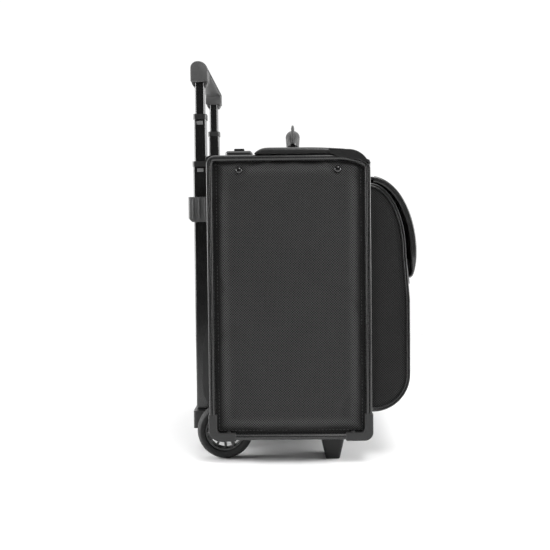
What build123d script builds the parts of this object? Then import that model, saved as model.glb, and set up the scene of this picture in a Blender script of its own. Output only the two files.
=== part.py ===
from build123d import *

import os
from math import sqrt

# A hard-sided pilot's rolling case, in millimetres.
# +Z is up, -Y is the front (pocket side), +Y is the rear (trolley side) and -X is the left.
# The origin is on the floor, under the middle of the whole case's bounding box.

os.makedirs("parts", exist_ok=True)
SIDES = (("left", -1), ("right", 1))

# ---------------------------------------------------------------- driving dimensions
case_width = 457.0
case_depth = 203.0
case_height = 355.0
ground_clearance = 30.0
rear_y = 115.0

front_y = rear_y - case_depth
mid_y = (front_y + rear_y) / 2
bottom_z = ground_clearance
top_z = bottom_z + case_height
half_width = case_width / 2
corner_radius = 9.0

board = 4.0
sheet = 2.0
skin = 1.5
trim_width = 8.5
trim_depth = 6.5
pad_depth = 4.5
skin_x = half_width - trim_depth
board_x = skin_x - skin
inner_x = board_x - board

droop_y = -50.0
droop_drop = 13.0
droop_run = droop_y - front_y
droop_radius = (droop_run**2 + droop_drop**2) / (2 * droop_drop)
droop_z = top_z - droop_radius
front_top_z = top_z - droop_drop

deck_y = rear_y - 60.0
lid_gap = 0.6
lid_thickness = 8.0
lid_rear_y = deck_y - 2.0
lid_z = top_z + lid_gap
lid_top_z = lid_z + lid_thickness

axle_x = 187.0
axle_y = 98.0
wheel_radius = 35.7
wheel_width = 24.0
axle_z = wheel_radius
axle_radius = 4.0
well_radius = 38.2
well_wall = 2.8
well_inner_x = 166.0
well_outer_x = 208.0
well_side = 3.0
well_top_z = axle_z + well_radius + 0.2

tube_x = 115.0
tube_y = 131.0
outer_tube = (26.4, 19.4)
mid_tube = (23.0, 16.0)
inner_tube = (19.8, 12.8)
tube_wall = 1.0
collar_lip = 0.8
slide_gap = 0.15
outer_top_z = top_z
mid_top_z = 448.0
grip_bottom_z = 490.0
grip_top_z = 517.5
grip_depth = 23.5
grip_half = 130.0
grip_leg = 27.0

lock_x = 145.0
lock_y = 77.0
lock_size = (64.0, 34.4, 9.0)
dial_radius = 5.2
dial_thickness = 5.4
dial_z = top_z + 5.7
dial_pitch = 8.0

handle_x = 88.0
handle_y = 7.4
pivot_z = lid_top_z + 7.0
pin_radius = 1.8

pocket_half = 200.0
pocket_wall = 2.0
flap_front_y = -146.5
flap_root_z = 358.0
flap_bottom_z = 230.0
flap_shell = 3.5


# ---------------------------------------------------------------- helpers
def block(xs, ys, zs, mode=Mode.ADD):
    """A box between two limits along each axis, in the part being built."""
    spans = (xs, ys, zs)
    middle = tuple((a + b) / 2 for a, b in spans)
    with Locations(middle):
        Box(*(abs(b - a) for a, b in spans), mode=mode)


def rod(x0, x1, y, z, radius, mode=Mode.ADD):
    """A cylinder along X, from x0 to x1, in the part being built."""
    with BuildSketch(Plane.YZ.offset(x0)) as disc:
        with Locations((y, z)):
            Circle(radius)
    extrude(disc.sketch, amount=x1 - x0, mode=mode)


def tube_section(size, z0, z1, x, y=tube_y, radius=3.0, mode=Mode.ADD):
    """A bar of rounded rectangular section, upright, in the part being built."""
    with BuildSketch(Plane.XY.offset(z0)) as section:
        with Locations((x, y)):
            RectangleRounded(size[0], size[1], radius)
    extrude(section.sketch, amount=z1 - z0, mode=mode)


def grown(size, by):
    """A section's size with by added on every side."""
    return size[0] + 2 * by, size[1] + 2 * by


def save(part, name):
    """Labels the finished piece and writes it as one STEP file."""
    part.label = name
    export_step(part, f"parts/{name}.step")


# ---------------------------------------------------------------- corner guards
guard_leg = 33.0
guard_width = 10.5
guard_proud = 1.0
guard_flange_x = inner_x + 0.5
guard_face_x = half_width + guard_proud
guard_flange_start = 6.0


def guard_outline(edge_y, outward):
    """The edges of the L of one corner guard, as seen from the side."""
    y_out = edge_y + outward * guard_proud
    y_in = edge_y + outward * (guard_proud - guard_width)
    y_end = edge_y - outward * guard_leg
    z_out = bottom_z - guard_proud
    z_in = z_out + guard_width
    z_end = bottom_z + guard_leg
    with BuildLine() as outline:
        Polyline(
            (y_out, z_out), (y_out, z_end), (y_in, z_end),
            (y_in, z_in), (y_end, z_in), (y_end, z_out), close=True,
        )
    return outline.edges()


with BuildPart() as corner_guards:
    for _, s in SIDES:
        for edge_y, outward in ((rear_y, 1), (front_y, -1)):
            with BuildSketch(Plane.YZ.offset(s * skin_x)) as guard:
                make_face(guard_outline(edge_y, outward))
                corner = guard.vertices().sort_by(lambda v: outward * v.X - v.Y)[-1]
                fillet(corner, radius=corner_radius + guard_proud)
            extrude(amount=s * (guard_face_x - skin_x))
            under_y = sorted((edge_y - outward * guard_leg, edge_y - outward * guard_flange_start))
            block(
                sorted((s * guard_flange_x, s * skin_x)),
                under_y,
                (bottom_z - guard_proud, bottom_z),
            )
            upright_y = sorted((edge_y, edge_y + outward * guard_proud))
            block(
                sorted((s * guard_flange_x, s * skin_x)),
                upright_y,
                (bottom_z + guard_flange_start, bottom_z + guard_leg),
            )
save(corner_guards.part, "corner_guards")

# ---------------------------------------------------------------- sides of the case
def side_outline(inset):
    """The edges of the case's side profile, drawn in by that much all round."""
    y_front = front_y + inset
    radius = droop_radius - inset
    z_front = droop_z + sqrt(radius**2 - (y_front - droop_y) ** 2)
    with BuildLine() as outline:
        Polyline(
            (droop_y, top_z - inset), (rear_y - inset, top_z - inset),
            (rear_y - inset, bottom_z + inset), (y_front, bottom_z + inset), (y_front, z_front),
        )
        RadiusArc((y_front, z_front), (droop_y, top_z - inset), radius)
    return outline.edges()


def sharp_corners(sketch):
    """The sketch's corners, less the point where the top starts to droop."""
    return [v for v in sketch.vertices() if abs(v.X - droop_y) > 1]


rivet_z = top_z - 19.0
rivet_spacing = 122.0
rivet_shank = 2.0
rivet_washer = 5.0
rivet_radius = 4.4
rivet_crown = 1.8
pad_corner = 3.0
rivet_places = [(mid_y - rivet_spacing / 2, rivet_z), (mid_y + rivet_spacing / 2, rivet_z)]

for side, s in SIDES:
    with BuildPart() as side_board:
        with BuildSketch(Plane.YZ.offset(s * inner_x)) as panel:
            make_face(side_outline(sheet))
            fillet(sharp_corners(panel), radius=corner_radius - sheet)
            with Locations(*rivet_places):
                Circle(rivet_shank, mode=Mode.SUBTRACT)
        extrude(amount=s * board)
    save(side_board.part, f"side_board_{side}")

    with BuildPart() as side_cover:
        with BuildSketch(Plane.YZ.offset(s * board_x)) as panel:
            make_face(side_outline(0))
            fillet(sharp_corners(panel), radius=corner_radius)
            with Locations(*rivet_places):
                Circle(rivet_shank, mode=Mode.SUBTRACT)
        extrude(amount=s * skin)
        with BuildSketch(Plane.YZ.offset(s * skin_x)) as pad:
            make_face(side_outline(trim_width + 0.5))
            fillet(sharp_corners(pad), radius=pad_corner)
            with Locations(*rivet_places):
                Circle(rivet_shank, mode=Mode.SUBTRACT)
        extrude(amount=s * pad_depth)
        add(corner_guards.part, mode=Mode.SUBTRACT)
    save(side_cover.part, f"side_cover_{side}")

    with BuildPart() as side_trim:
        with BuildSketch(Plane.YZ.offset(s * skin_x)) as band:
            make_face(side_outline(0))
            fillet(sharp_corners(band), radius=corner_radius)
        extrude(amount=s * trim_depth)
        outer_face = side_trim.faces().sort_by(Axis.X)[-1 if s > 0 else 0]
        fillet(outer_face.edges(), radius=2.5)
        with BuildSketch(Plane.YZ.offset(s * skin_x)) as opening:
            make_face(side_outline(trim_width))
            fillet(sharp_corners(opening), radius=pad_corner)
        extrude(amount=s * trim_depth, mode=Mode.SUBTRACT)
        add(corner_guards.part, mode=Mode.SUBTRACT)
    save(side_trim.part, f"side_trim_{side}")

with BuildPart() as side_rivets:
    for _, s in SIDES:
        for y, z in rivet_places:
            rod(s * (inner_x - 1.0), s * (skin_x + pad_depth), y, z, rivet_shank)
            rod(s * (inner_x - 1.0), s * inner_x, y, z, rivet_washer)
            with BuildSketch(Plane.YZ.offset(s * (skin_x + pad_depth))):
                with Locations((y, z)):
                    Circle(rivet_radius)
            extrude(amount=s * rivet_crown)
    crowns = side_rivets.faces().filter_by(Axis.X).group_by(Axis.X)
    fillet([f.edges() for f in (*crowns[0], *crowns[-1])], radius=1.5)
save(side_rivets.part, "side_rivets")

# ---------------------------------------------------------------- front, rear, bottom and deck
well_hole_inner = well_inner_x - well_side
well_hole_outer = well_outer_x + well_side
well_front_y = axle_y - well_radius - well_wall - 0.1
cover_foot_z = bottom_z + 7.0
pan_chamfer = board - 0.2

with BuildPart() as front_board:
    block(
        (-inner_x, inner_x),
        (front_y + sheet, front_y + sheet + board),
        (bottom_z + board, front_top_z - 5),
    )
save(front_board.part, "front_board")

with BuildPart() as front_cover:
    block((-board_x, board_x), (front_y, front_y + sheet), (cover_foot_z, front_top_z))
save(front_cover.part, "front_cover")

with BuildPart() as rear_board:
    block((-inner_x, inner_x), (rear_y - sheet - board, rear_y - sheet), (bottom_z + board, top_z - sheet))
    for _, s in SIDES:
        block(
            sorted((s * well_hole_inner, s * well_hole_outer)),
            (rear_y - 10, rear_y + 1),
            (bottom_z, well_top_z + well_wall),
            mode=Mode.SUBTRACT,
        )
save(rear_board.part, "rear_board")

with BuildPart() as rear_cover:
    block((-board_x, board_x), (rear_y - sheet, rear_y), (cover_foot_z, top_z))
    block((-board_x, board_x), (deck_y, rear_y - sheet), (top_z - sheet, top_z))
    for _, s in SIDES:
        block(
            sorted((s * well_hole_inner, s * well_hole_outer)),
            (rear_y - 10, rear_y + 1),
            (bottom_z - 1, well_top_z),
            mode=Mode.SUBTRACT,
        )
save(rear_cover.part, "rear_cover")

with BuildPart() as bottom_pan:
    block((-inner_x, inner_x), (front_y + sheet, rear_y - sheet), (bottom_z, bottom_z + board))
    chamfer(bottom_pan.edges().filter_by(Axis.X).group_by(Axis.Z)[0], length=pan_chamfer)
    for _, s in SIDES:
        block(
            sorted((s * well_hole_inner, s * well_hole_outer)),
            (well_front_y, rear_y),
            (bottom_z - 1, bottom_z + board + 1),
            mode=Mode.SUBTRACT,
        )
        block(
            sorted((s * (well_hole_inner - 6), s * (inner_x + 1))),
            (axle_y - 9, axle_y + 9),
            (bottom_z - 1, bottom_z + board + 1),
            mode=Mode.SUBTRACT,
        )
save(bottom_pan.part, "bottom_pan")

with BuildPart() as top_deck:
    block(
        (-inner_x, inner_x),
        (deck_y, rear_y - sheet - board),
        (top_z - sheet - board, top_z - sheet),
    )
save(top_deck.part, "top_deck")

# ---------------------------------------------------------------- inside
divider_y = (8.0, 11.0)
divider_top_z = 325.0
sleeve_half = 190.0
sleeve_y = (84.0, 100.0)
sleeve_top_z = 330.0
sleeve_z = well_top_z + 6
sleeve_front = 4.5
sleeve_back = 4.0
sleeve_edge = 6.0

with BuildPart() as divider:
    block((-inner_x + 2, inner_x - 2), divider_y, (bottom_z + board + 1, divider_top_z))
    fillet(divider.edges().filter_by(Axis.Y).group_by(Axis.Z)[-1], radius=12)
save(divider.part, "divider")

with BuildPart() as laptop_sleeve:
    block((-sleeve_half, sleeve_half), sleeve_y, (sleeve_z, sleeve_top_z))
    block(
        (-sleeve_half + sleeve_edge, sleeve_half - sleeve_edge),
        (sleeve_y[0] + sleeve_front, sleeve_y[1] - sleeve_back),
        (sleeve_z + 8, sleeve_top_z + 1),
        mode=Mode.SUBTRACT,
    )
save(laptop_sleeve.part, "laptop_sleeve")

# ---------------------------------------------------------------- wheel housings and feet
kick_z = (65.0, 183.0)
kick_full_z = (87.0, 145.0)
kick_span = (173.0, 205.0)
kick_depth = 9.5
rim_plate = 2.0
ear_radius = 11.0
housing_front_y = 40.0
housing_top_z = 100.0

for side, s in SIDES:
    with BuildPart() as wheel_housing:
        with BuildSketch(Plane.YZ.offset(s * well_hole_inner)):
            with Locations((axle_y, axle_z)):
                Circle(well_radius + well_wall)
            with Locations(((rear_y + housing_front_y) / 2, (bottom_z + housing_top_z) / 2)):
                Rectangle(rear_y - housing_front_y, housing_top_z - bottom_z, mode=Mode.INTERSECT)
            with Locations((axle_y, axle_z)):
                Circle(ear_radius)
        extrude(amount=s * (well_hole_outer - well_hole_inner))
        block(
            sorted((s * (well_hole_inner - 2.5), s * (well_hole_outer + 1.5))),
            (rear_y, rear_y + rim_plate),
            (bottom_z, well_top_z + 2.5),
        )
        kick_x = sorted(s * x for x in kick_span)
        with BuildSketch(Plane.YZ.offset(kick_x[0])):
            with BuildLine():
                Polyline(
                    (rear_y, kick_z[0]), (rear_y + 1.5, kick_z[0] + 3),
                    (rear_y + kick_depth, kick_full_z[0]), (rear_y + kick_depth, kick_full_z[1]),
                    (rear_y, kick_z[1]), close=True,
                )
            make_face()
        extrude(amount=kick_x[1] - kick_x[0])
        fillet(
            wheel_housing.edges().filter_by(Axis.X).filter_by_position(
                Axis.Y, rear_y + kick_depth - 0.1, rear_y + kick_depth + 0.1
            ),
            radius=5,
        )
        rod(s * well_inner_x, s * well_outer_x, axle_y, axle_z, well_radius, mode=Mode.SUBTRACT)
        rod(
            s * (well_hole_inner - 1), s * (well_hole_outer + 1),
            axle_y, axle_z, axle_radius, mode=Mode.SUBTRACT,
        )
    save(wheel_housing.part, f"wheel_housing_{side}")

foot_x = 180.0
foot_y = -39.5
foot_top = (50.0, 29.4)
foot_tip = (39.0, 18.5)
foot_plate = 1.6

for side, s in SIDES:
    with BuildPart() as foot:
        with BuildSketch(Plane.XY):
            with Locations((s * foot_x, foot_y)):
                RectangleRounded(*foot_tip, 3)
        with BuildSketch(Plane.XY.offset(bottom_z - foot_plate)):
            with Locations((s * foot_x, foot_y)):
                RectangleRounded(*foot_top, 4)
        loft()
        with BuildSketch(Plane.XY.offset(bottom_z - foot_plate)):
            with Locations((s * foot_x, foot_y)):
                RectangleRounded(*grown(foot_top, 1.2), 5)
        extrude(amount=foot_plate)
    save(foot.part, f"foot_{side}")

# ---------------------------------------------------------------- wheels
rim_radius = 25.0
rim_wall = 2.2
barrel_radius = 13.0
bearing_radius = 11.0
bearing_width = 7.0
bore_gap = 0.05
race_rim = 1.7
race_step = 0.5
spoke_count = 12
wheel_inner_x = axle_x - wheel_width / 2
rim_half = 9.0
spoke_half = 6.0
spoke_thickness = 2.4
barrel_half = 13.0

for side, s in SIDES:
    wheel_plane = Plane.YZ.offset(s * wheel_inner_x)

    with BuildPart() as tyre:
        with BuildSketch(wheel_plane):
            with Locations((axle_y, axle_z)):
                Circle(wheel_radius)
                Circle(rim_radius, mode=Mode.SUBTRACT)
        extrude(amount=s * wheel_width)
        rolling = tyre.edges().filter_by(GeomType.CIRCLE).group_by(SortBy.RADIUS)[-1]
        fillet(rolling, radius=4.5)
    save(tyre.part, f"tyre_{side}")

    with BuildPart() as hub:
        with BuildSketch(Plane.YZ.offset(s * (axle_x - rim_half))):
            with Locations((axle_y, axle_z)):
                Circle(rim_radius)
                Circle(rim_radius - rim_wall, mode=Mode.SUBTRACT)
        extrude(amount=s * 2 * rim_half)
        with BuildSketch(Plane.YZ.offset(s * (axle_x - spoke_half))):
            with Locations((axle_y, axle_z)):
                with PolarLocations((barrel_radius + rim_radius) / 2 - 0.5, spoke_count):
                    Rectangle(rim_radius - barrel_radius, spoke_thickness)
        extrude(amount=s * 2 * spoke_half)
        rod(s * (axle_x - barrel_half), s * (axle_x + barrel_half), axle_y, axle_z, barrel_radius)
        rod(
            s * (axle_x - barrel_half - 1), s * (axle_x + barrel_half + 1),
            axle_y, axle_z, bearing_radius - 2, mode=Mode.SUBTRACT,
        )
        for end in (-1, 1):
            rod(
                s * (axle_x + end * (barrel_half - bearing_width)), s * (axle_x + end * (barrel_half + 1)),
                axle_y, axle_z, bearing_radius, mode=Mode.SUBTRACT,
            )
    save(hub.part, f"hub_{side}")

    with BuildPart() as bearings:
        for end in (-1, 1):
            face_x = s * (axle_x + end * barrel_half)
            back_x = s * (axle_x + end * (barrel_half - bearing_width))
            rod(back_x, face_x, axle_y, axle_z, bearing_radius)
            with BuildSketch(Plane.YZ.offset(face_x)):
                with Locations((axle_y, axle_z)):
                    Circle(bearing_radius - race_rim)
                    Circle(axle_radius + race_rim, mode=Mode.SUBTRACT)
            extrude(amount=-s * end * race_step, mode=Mode.SUBTRACT)
            rod(back_x, face_x, axle_y, axle_z, axle_radius + bore_gap, mode=Mode.SUBTRACT)
    save(bearings.part, f"bearings_{side}")

bolt_head_radius = 7.0
bolt_head = 4.5
spacer_radius = 6.5
spacer_gap = 0.3

with BuildPart() as axle_bolts:
    for _, s in SIDES:
        rod(s * (well_hole_inner - bolt_head - 0.5), s * well_hole_outer, axle_y, axle_z, axle_radius)
        with BuildSketch(Plane.YZ.offset(s * well_hole_outer)):
            with Locations((axle_y, axle_z)):
                RegularPolygon(bolt_head_radius, 6)
        extrude(amount=s * bolt_head)
        with BuildSketch(Plane.YZ.offset(s * well_hole_inner)):
            with Locations((axle_y, axle_z)):
                RegularPolygon(bolt_head_radius, 6)
        extrude(amount=-s * bolt_head)
        hub_end = barrel_half + spacer_gap
        rod(s * well_inner_x, s * (axle_x - hub_end), axle_y, axle_z, spacer_radius)
        rod(s * (axle_x + hub_end), s * well_outer_x, axle_y, axle_z, spacer_radius)
save(axle_bolts.part, "axle_bolts")

# ---------------------------------------------------------------- trolley
bracket_x = 142.0
block_inner_x = 97.0
bracket_rear_y = 146.5
bracket_z = (304.0, 337.0)
bar_y = (rear_y, 136.0)
upper_bar_z = (307.0, 332.0)
lower_z = (29.0, 52.0)
lower_rear_y = 143.5
block_corner = 3.0
tube_foot_z = 31.0
screw_x = 60.0
screw_radius = 2.0
screw_head = 3.8
screw_slot = (4.4, 0.9)
upper_screws = [(x, z) for x in (-screw_x, screw_x) for z in (311.0, 326.0)]
lower_screws = [(x, 42.0) for x in (-screw_x, screw_x)]

with BuildPart() as upper_bracket:
    block((-bracket_x, bracket_x), bar_y, upper_bar_z)
    for _, s in SIDES:
        block(sorted((s * block_inner_x, s * bracket_x)), (rear_y, bracket_rear_y), bracket_z)
    rear_edges = upper_bracket.edges().filter_by(Axis.X).filter_by_position(
        Axis.Y, bracket_rear_y - 0.1, bracket_rear_y + 0.1
    )
    chamfer(rear_edges.group_by(Axis.Z)[0], length=5)
    upright = upper_bracket.edges().filter_by(Axis.Z).filter_by_position(
        Axis.Y, bracket_rear_y - 0.1, bracket_rear_y + 0.1
    )
    fillet(upright, radius=block_corner)
    for _, s in SIDES:
        tube_section(outer_tube, bracket_z[0] - 1, bracket_z[1] + 1, s * tube_x, mode=Mode.SUBTRACT)
    with Locations(*(Location((x, bar_y[1], z), (-90, 0, 0)) for x, z in upper_screws)):
        Hole(screw_radius, 40)
save(upper_bracket.part, "upper_bracket")

with BuildPart() as lower_bracket:
    block((-bracket_x, bracket_x), bar_y, lower_z)
    for _, s in SIDES:
        block(sorted((s * block_inner_x, s * bracket_x)), (rear_y, lower_rear_y), lower_z)
    lower_upright = lower_bracket.edges().filter_by(Axis.Z).filter_by_position(
        Axis.Y, lower_rear_y - 0.1, lower_rear_y + 0.1
    )
    fillet(lower_upright, radius=block_corner)
    for _, s in SIDES:
        tube_section(outer_tube, tube_foot_z, lower_z[1] + 1, s * tube_x, mode=Mode.SUBTRACT)
    with Locations(*(Location((x, bar_y[1], z), (-90, 0, 0)) for x, z in lower_screws)):
        Hole(screw_radius, 40)
save(lower_bracket.part, "lower_bracket")

with BuildPart() as bracket_screws:
    for x, z in (*upper_screws, *lower_screws):
        with BuildSketch(Plane.XZ.offset(-rear_y)):
            with Locations((x, z)):
                Circle(screw_radius)
        extrude(amount=-(bar_y[1] - bar_y[0]))
        with BuildSketch(Plane.XZ.offset(-bar_y[1])):
            with Locations((x, z)):
                Circle(screw_head)
                Rectangle(*screw_slot, mode=Mode.SUBTRACT)
                Rectangle(*reversed(screw_slot), mode=Mode.SUBTRACT)
        extrude(amount=-2.0)
save(bracket_screws.part, "bracket_screws")


collar_height = 7.0
collar_corner = 3.6
catch_half = 4.0
catch_proud = 0.5
mid_foot_z = 36.0
lock_head_z = 60.0


def tube_pair(size, z0, z1, wall):
    """Both sides' tubes of one trolley stage, in the part being built."""
    for _, s in SIDES:
        tube_section(size, z0, z1, s * tube_x)
        tube_section(grown(size, -wall), z0 - 1, z1 + 1, s * tube_x, radius=2.0, mode=Mode.SUBTRACT)


def collar_pair(size, passing, top):
    """Both sides' collars on a tube of that size, with the snap catch just under each collar."""
    for _, s in SIDES:
        tube_section(grown(size, collar_lip), top - collar_height, top, s * tube_x, radius=collar_corner)
        tube_section(size, top - 8, top - 3, s * tube_x, mode=Mode.SUBTRACT)
        tube_section(grown(passing, slide_gap), top - 4, top + 1, s * tube_x, mode=Mode.SUBTRACT)
        face_x = tube_x + size[0] / 2
        block(
            sorted((s * face_x, s * (face_x + catch_proud))),
            (tube_y - catch_half, tube_y + catch_half),
            (top - 14.2, top - 9.6),
        )


with BuildPart() as outer_tubes:
    tube_pair(outer_tube, tube_foot_z, outer_top_z - 3, tube_wall)
save(outer_tubes.part, "outer_tubes")

with BuildPart() as outer_collars:
    collar_pair(outer_tube, mid_tube, outer_top_z)
save(outer_collars.part, "outer_collars")

with BuildPart() as mid_tubes:
    tube_pair(mid_tube, mid_foot_z, mid_top_z - 3, tube_wall)
save(mid_tubes.part, "mid_tubes")

with BuildPart() as mid_collars:
    collar_pair(mid_tube, inner_tube, mid_top_z)
save(mid_collars.part, "mid_collars")

with BuildPart() as mid_plugs:
    for _, s in SIDES:
        tube_section(grown(mid_tube, 0.5), mid_foot_z - 3.5, mid_foot_z, s * tube_x)
        tube_section(grown(mid_tube, -tube_wall), mid_foot_z, mid_foot_z + 4, s * tube_x, radius=2.0)
save(mid_plugs.part, "mid_plugs")

inner_wall = 1.2
inner_foot_z = 42.0
inner_head_z = 500.0
rod_radius = 2.0
with BuildPart() as inner_tubes:
    tube_pair(inner_tube, inner_foot_z, inner_head_z, inner_wall)
save(inner_tubes.part, "inner_tubes")

with BuildPart() as lock_rods:
    for _, s in SIDES:
        tube_section(grown(inner_tube, 0.4), inner_foot_z - 1.5, inner_foot_z, s * tube_x)
        tube_section(grown(inner_tube, -inner_wall), inner_foot_z, lock_head_z, s * tube_x, radius=2.0)
        with BuildSketch(Plane.XY.offset(lock_head_z)):
            with Locations((s * tube_x, tube_y)):
                Circle(rod_radius)
        extrude(amount=inner_head_z - lock_head_z - 2)
save(lock_rods.part, "lock_rods")

grip_rear_y = tube_y + grip_depth / 2
grip_front_y = tube_y - grip_depth / 2
bar_z = 503.0
button_size = (34.0, 11.0)
button_y = grip_rear_y - 9.0
button_gap = 0.3
button_foot_z = 508.0
grip_front_radius = 13.0
grip_rear_radius = 6.5
grip_foot_radius = 2.0
boss_height = 5.5
boss_rim = 1.5

with BuildPart() as trolley_grip:
    with BuildSketch(Plane.YZ.offset(-grip_half)) as grip_profile:
        with Locations((tube_y, (grip_bottom_z + grip_top_z) / 2)):
            Rectangle(grip_depth, grip_top_z - grip_bottom_z)
        grip_shoulders = grip_profile.vertices().group_by(Axis.Y)[-1].sort_by(Axis.X)
        fillet(grip_shoulders[0], radius=grip_front_radius)
        fillet(grip_profile.vertices().group_by(Axis.Y)[-1].sort_by(Axis.X)[-1], radius=grip_rear_radius)
        fillet(grip_profile.vertices().group_by(Axis.Y)[0], radius=grip_foot_radius)
    extrude(amount=2 * grip_half)
    inner_leg_x = grip_half - grip_leg
    block(
        (-inner_leg_x, inner_leg_x),
        (grip_front_y - 1, grip_rear_y + 1),
        (grip_bottom_z - 1, bar_z),
        mode=Mode.SUBTRACT,
    )
    for _, s in SIDES:
        with BuildSketch(Plane.XY.offset(grip_bottom_z)):
            with Locations((s * (grip_half - grip_leg / 2), tube_y)):
                RectangleRounded(grip_leg - 2, grip_depth - 1, 3)
        with BuildSketch(Plane.XY.offset(grip_bottom_z - boss_height)):
            with Locations((s * tube_x, tube_y)):
                RectangleRounded(*grown(inner_tube, boss_rim), 3)
        loft()
        boss_foot_z = grip_bottom_z - boss_height
        tube_section(inner_tube, boss_foot_z - 1, inner_head_z, s * tube_x, mode=Mode.SUBTRACT)
    block(
        (-button_size[0] / 2 - button_gap, button_size[0] / 2 + button_gap),
        (button_y - button_size[1] / 2 - button_gap, button_y + button_size[1] / 2 + button_gap),
        (bar_z + 1.6, grip_top_z + 1),
        mode=Mode.SUBTRACT,
    )
save(trolley_grip.part, "trolley_grip")

with BuildPart() as release_button:
    with BuildSketch(Plane.XY.offset(button_foot_z)):
        with Locations((0, button_y)):
            RectangleRounded(*button_size, 4)
    extrude(amount=grip_top_z + 1 - button_foot_z)
    fillet(release_button.faces().sort_by(Axis.Z)[-1].edges(), radius=1.0)
save(release_button.part, "release_button")

# ---------------------------------------------------------------- lid
lid_wall = 3.0
lid_skin = 2.4
hasp_half = 12.0
tongue_half = 6.0
hasp_z = (lid_z, lid_z + 1.5)
hasp_front_y = lid_rear_y - 26.0
tongue_y = (63.5, 66.0)
lid_board_y = (droop_y, lid_rear_y - 8)


def arc_height(radius):
    """How high the drooping edge's arc of that radius stands over the case's front."""
    return droop_z + sqrt(radius**2 - droop_run**2)


with BuildPart() as lid_cover:
    under_radius = droop_radius + lid_gap
    upper_radius = under_radius + lid_thickness
    with BuildSketch(Plane.YZ.offset(-half_width)) as lid_section:
        with BuildLine():
            Polyline(
                (droop_y, lid_top_z), (lid_rear_y - 6, lid_top_z), (lid_rear_y, lid_z + 3),
                (lid_rear_y, lid_z), (droop_y, lid_z),
            )
            RadiusArc((front_y, arc_height(under_radius)), (droop_y, lid_z), under_radius)
            Line((front_y, arc_height(under_radius)), (front_y, arc_height(upper_radius)))
            RadiusArc((front_y, arc_height(upper_radius)), (droop_y, lid_top_z), upper_radius)
        make_face()
        front_corner = lid_section.vertices().sort_by(Axis.X).filter_by(lambda v: v.X < front_y + 0.1)
        fillet(front_corner.sort_by(Axis.Y)[-1], radius=5)
    extrude(amount=2 * half_width)
    block(
        (-half_width + lid_wall, half_width - lid_wall),
        lid_board_y,
        (lid_z - 1, lid_top_z - lid_skin),
        mode=Mode.SUBTRACT,
    )
    for _, s in SIDES:
        block(
            (s * lock_x - hasp_half, s * lock_x + hasp_half),
            (lid_rear_y - 9, lid_rear_y + 1),
            (lid_z - 1, hasp_z[1]),
            mode=Mode.SUBTRACT,
        )
save(lid_cover.part, "lid_cover")

with BuildPart() as lid_board:
    block(
        (-half_width + lid_wall, half_width - lid_wall),
        lid_board_y,
        (lid_z, lid_top_z - lid_skin),
    )
    for _, s in SIDES:
        block(
            (s * lock_x - hasp_half, s * lock_x + hasp_half),
            (hasp_front_y, lid_rear_y - 7),
            (lid_z - 1, hasp_z[1]),
            mode=Mode.SUBTRACT,
        )
save(lid_board.part, "lid_board")

with BuildPart() as hasps:
    for _, s in SIDES:
        block(
            (s * lock_x - hasp_half, s * lock_x + hasp_half),
            (hasp_front_y, lid_rear_y),
            hasp_z,
        )
        tongue_x = (s * lock_x - tongue_half, s * lock_x + tongue_half)
        block(tongue_x, (lid_rear_y, tongue_y[1]), hasp_z)
        block(tongue_x, tongue_y, (lid_z, lid_z + 6))
save(hasps.part, "hasps")

anchor_plate = (30.0, 24.0, 1.5)
anchor_gap = 6.0
ear_thickness = 2.0
anchor_ear = 4.2
with BuildPart() as handle_anchors:
    for _, s in SIDES:
        with BuildSketch(Plane.XY.offset(lid_top_z)):
            with Locations((s * handle_x, handle_y)):
                RectangleRounded(anchor_plate[0], anchor_plate[1], 4)
        extrude(amount=anchor_plate[2])
        for end in (-1, 1):
            ear_x = s * handle_x + end * (anchor_gap + ear_thickness / 2)
            with BuildSketch(Plane.YZ.offset(ear_x - ear_thickness / 2)):
                with Locations((handle_y, pivot_z)):
                    Circle(anchor_ear)
                with Locations((handle_y, (lid_top_z + 1 + pivot_z) / 2)):
                    Rectangle(2 * anchor_ear, pivot_z - lid_top_z - 1)
            extrude(amount=ear_thickness)
        rod(s * handle_x - anchor_gap, s * handle_x + anchor_gap, handle_y, pivot_z, pin_radius)
save(handle_anchors.part, "handle_anchors")

# ---------------------------------------------------------------- carry handle
crown_z = 429.0
bend = 20.0
padding = (21.0, 19.0)
flange = (4.4, 15.0)
root_z = pivot_z + 3
eye_half = anchor_gap - 0.4
eye_radius = 4.2

with BuildPart() as handle_grip:
    with BuildLine(Plane.XZ.offset(-handle_y)) as handle_path:
        FilletPolyline(
            (-handle_x, root_z),
            (-handle_x, crown_z),
            (handle_x, crown_z),
            (handle_x, root_z),
            radius=bend,
        )
    with BuildSketch(Plane(origin=(-handle_x, handle_y, root_z), x_dir=(0, 1, 0), z_dir=(0, 0, 1))):
        Ellipse(padding[0] / 2, padding[1] / 2)
    sweep(path=handle_path.line)
    with BuildSketch(Plane(origin=(-handle_x, handle_y, root_z), x_dir=(0, 1, 0), z_dir=(0, 0, 1))):
        with Locations((0, flange[1] / 2)):
            Rectangle(*flange)
    sweep(path=handle_path.line)
    for _, s in SIDES:
        block(
            (s * handle_x - 40, s * handle_x + 40), (handle_y - 20, handle_y + 20),
            (pivot_z - 5, pivot_z + 8), mode=Mode.SUBTRACT,
        )
        rod(s * handle_x - eye_half, s * handle_x + eye_half, handle_y, pivot_z, eye_radius)
        block(
            (s * handle_x - eye_half, s * handle_x + eye_half),
            (handle_y - eye_radius, handle_y + eye_radius),
            (pivot_z, pivot_z + 9),
        )
        rod(
            s * handle_x - anchor_gap, s * handle_x + anchor_gap,
            handle_y, pivot_z, pin_radius + 0.08, mode=Mode.SUBTRACT,
        )
save(handle_grip.part, "handle_grip")

# ---------------------------------------------------------------- combination locks
dial_offsets = [-20.0 + i * dial_pitch for i in range(3)]
slider_offset = 12.0
slider_travel = 5.0
slider_neck = (4.7, 2.9)
slider_head = (6.0, 6.5)
slider_slot = 3.2
spindle_radius = 1.2

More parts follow.
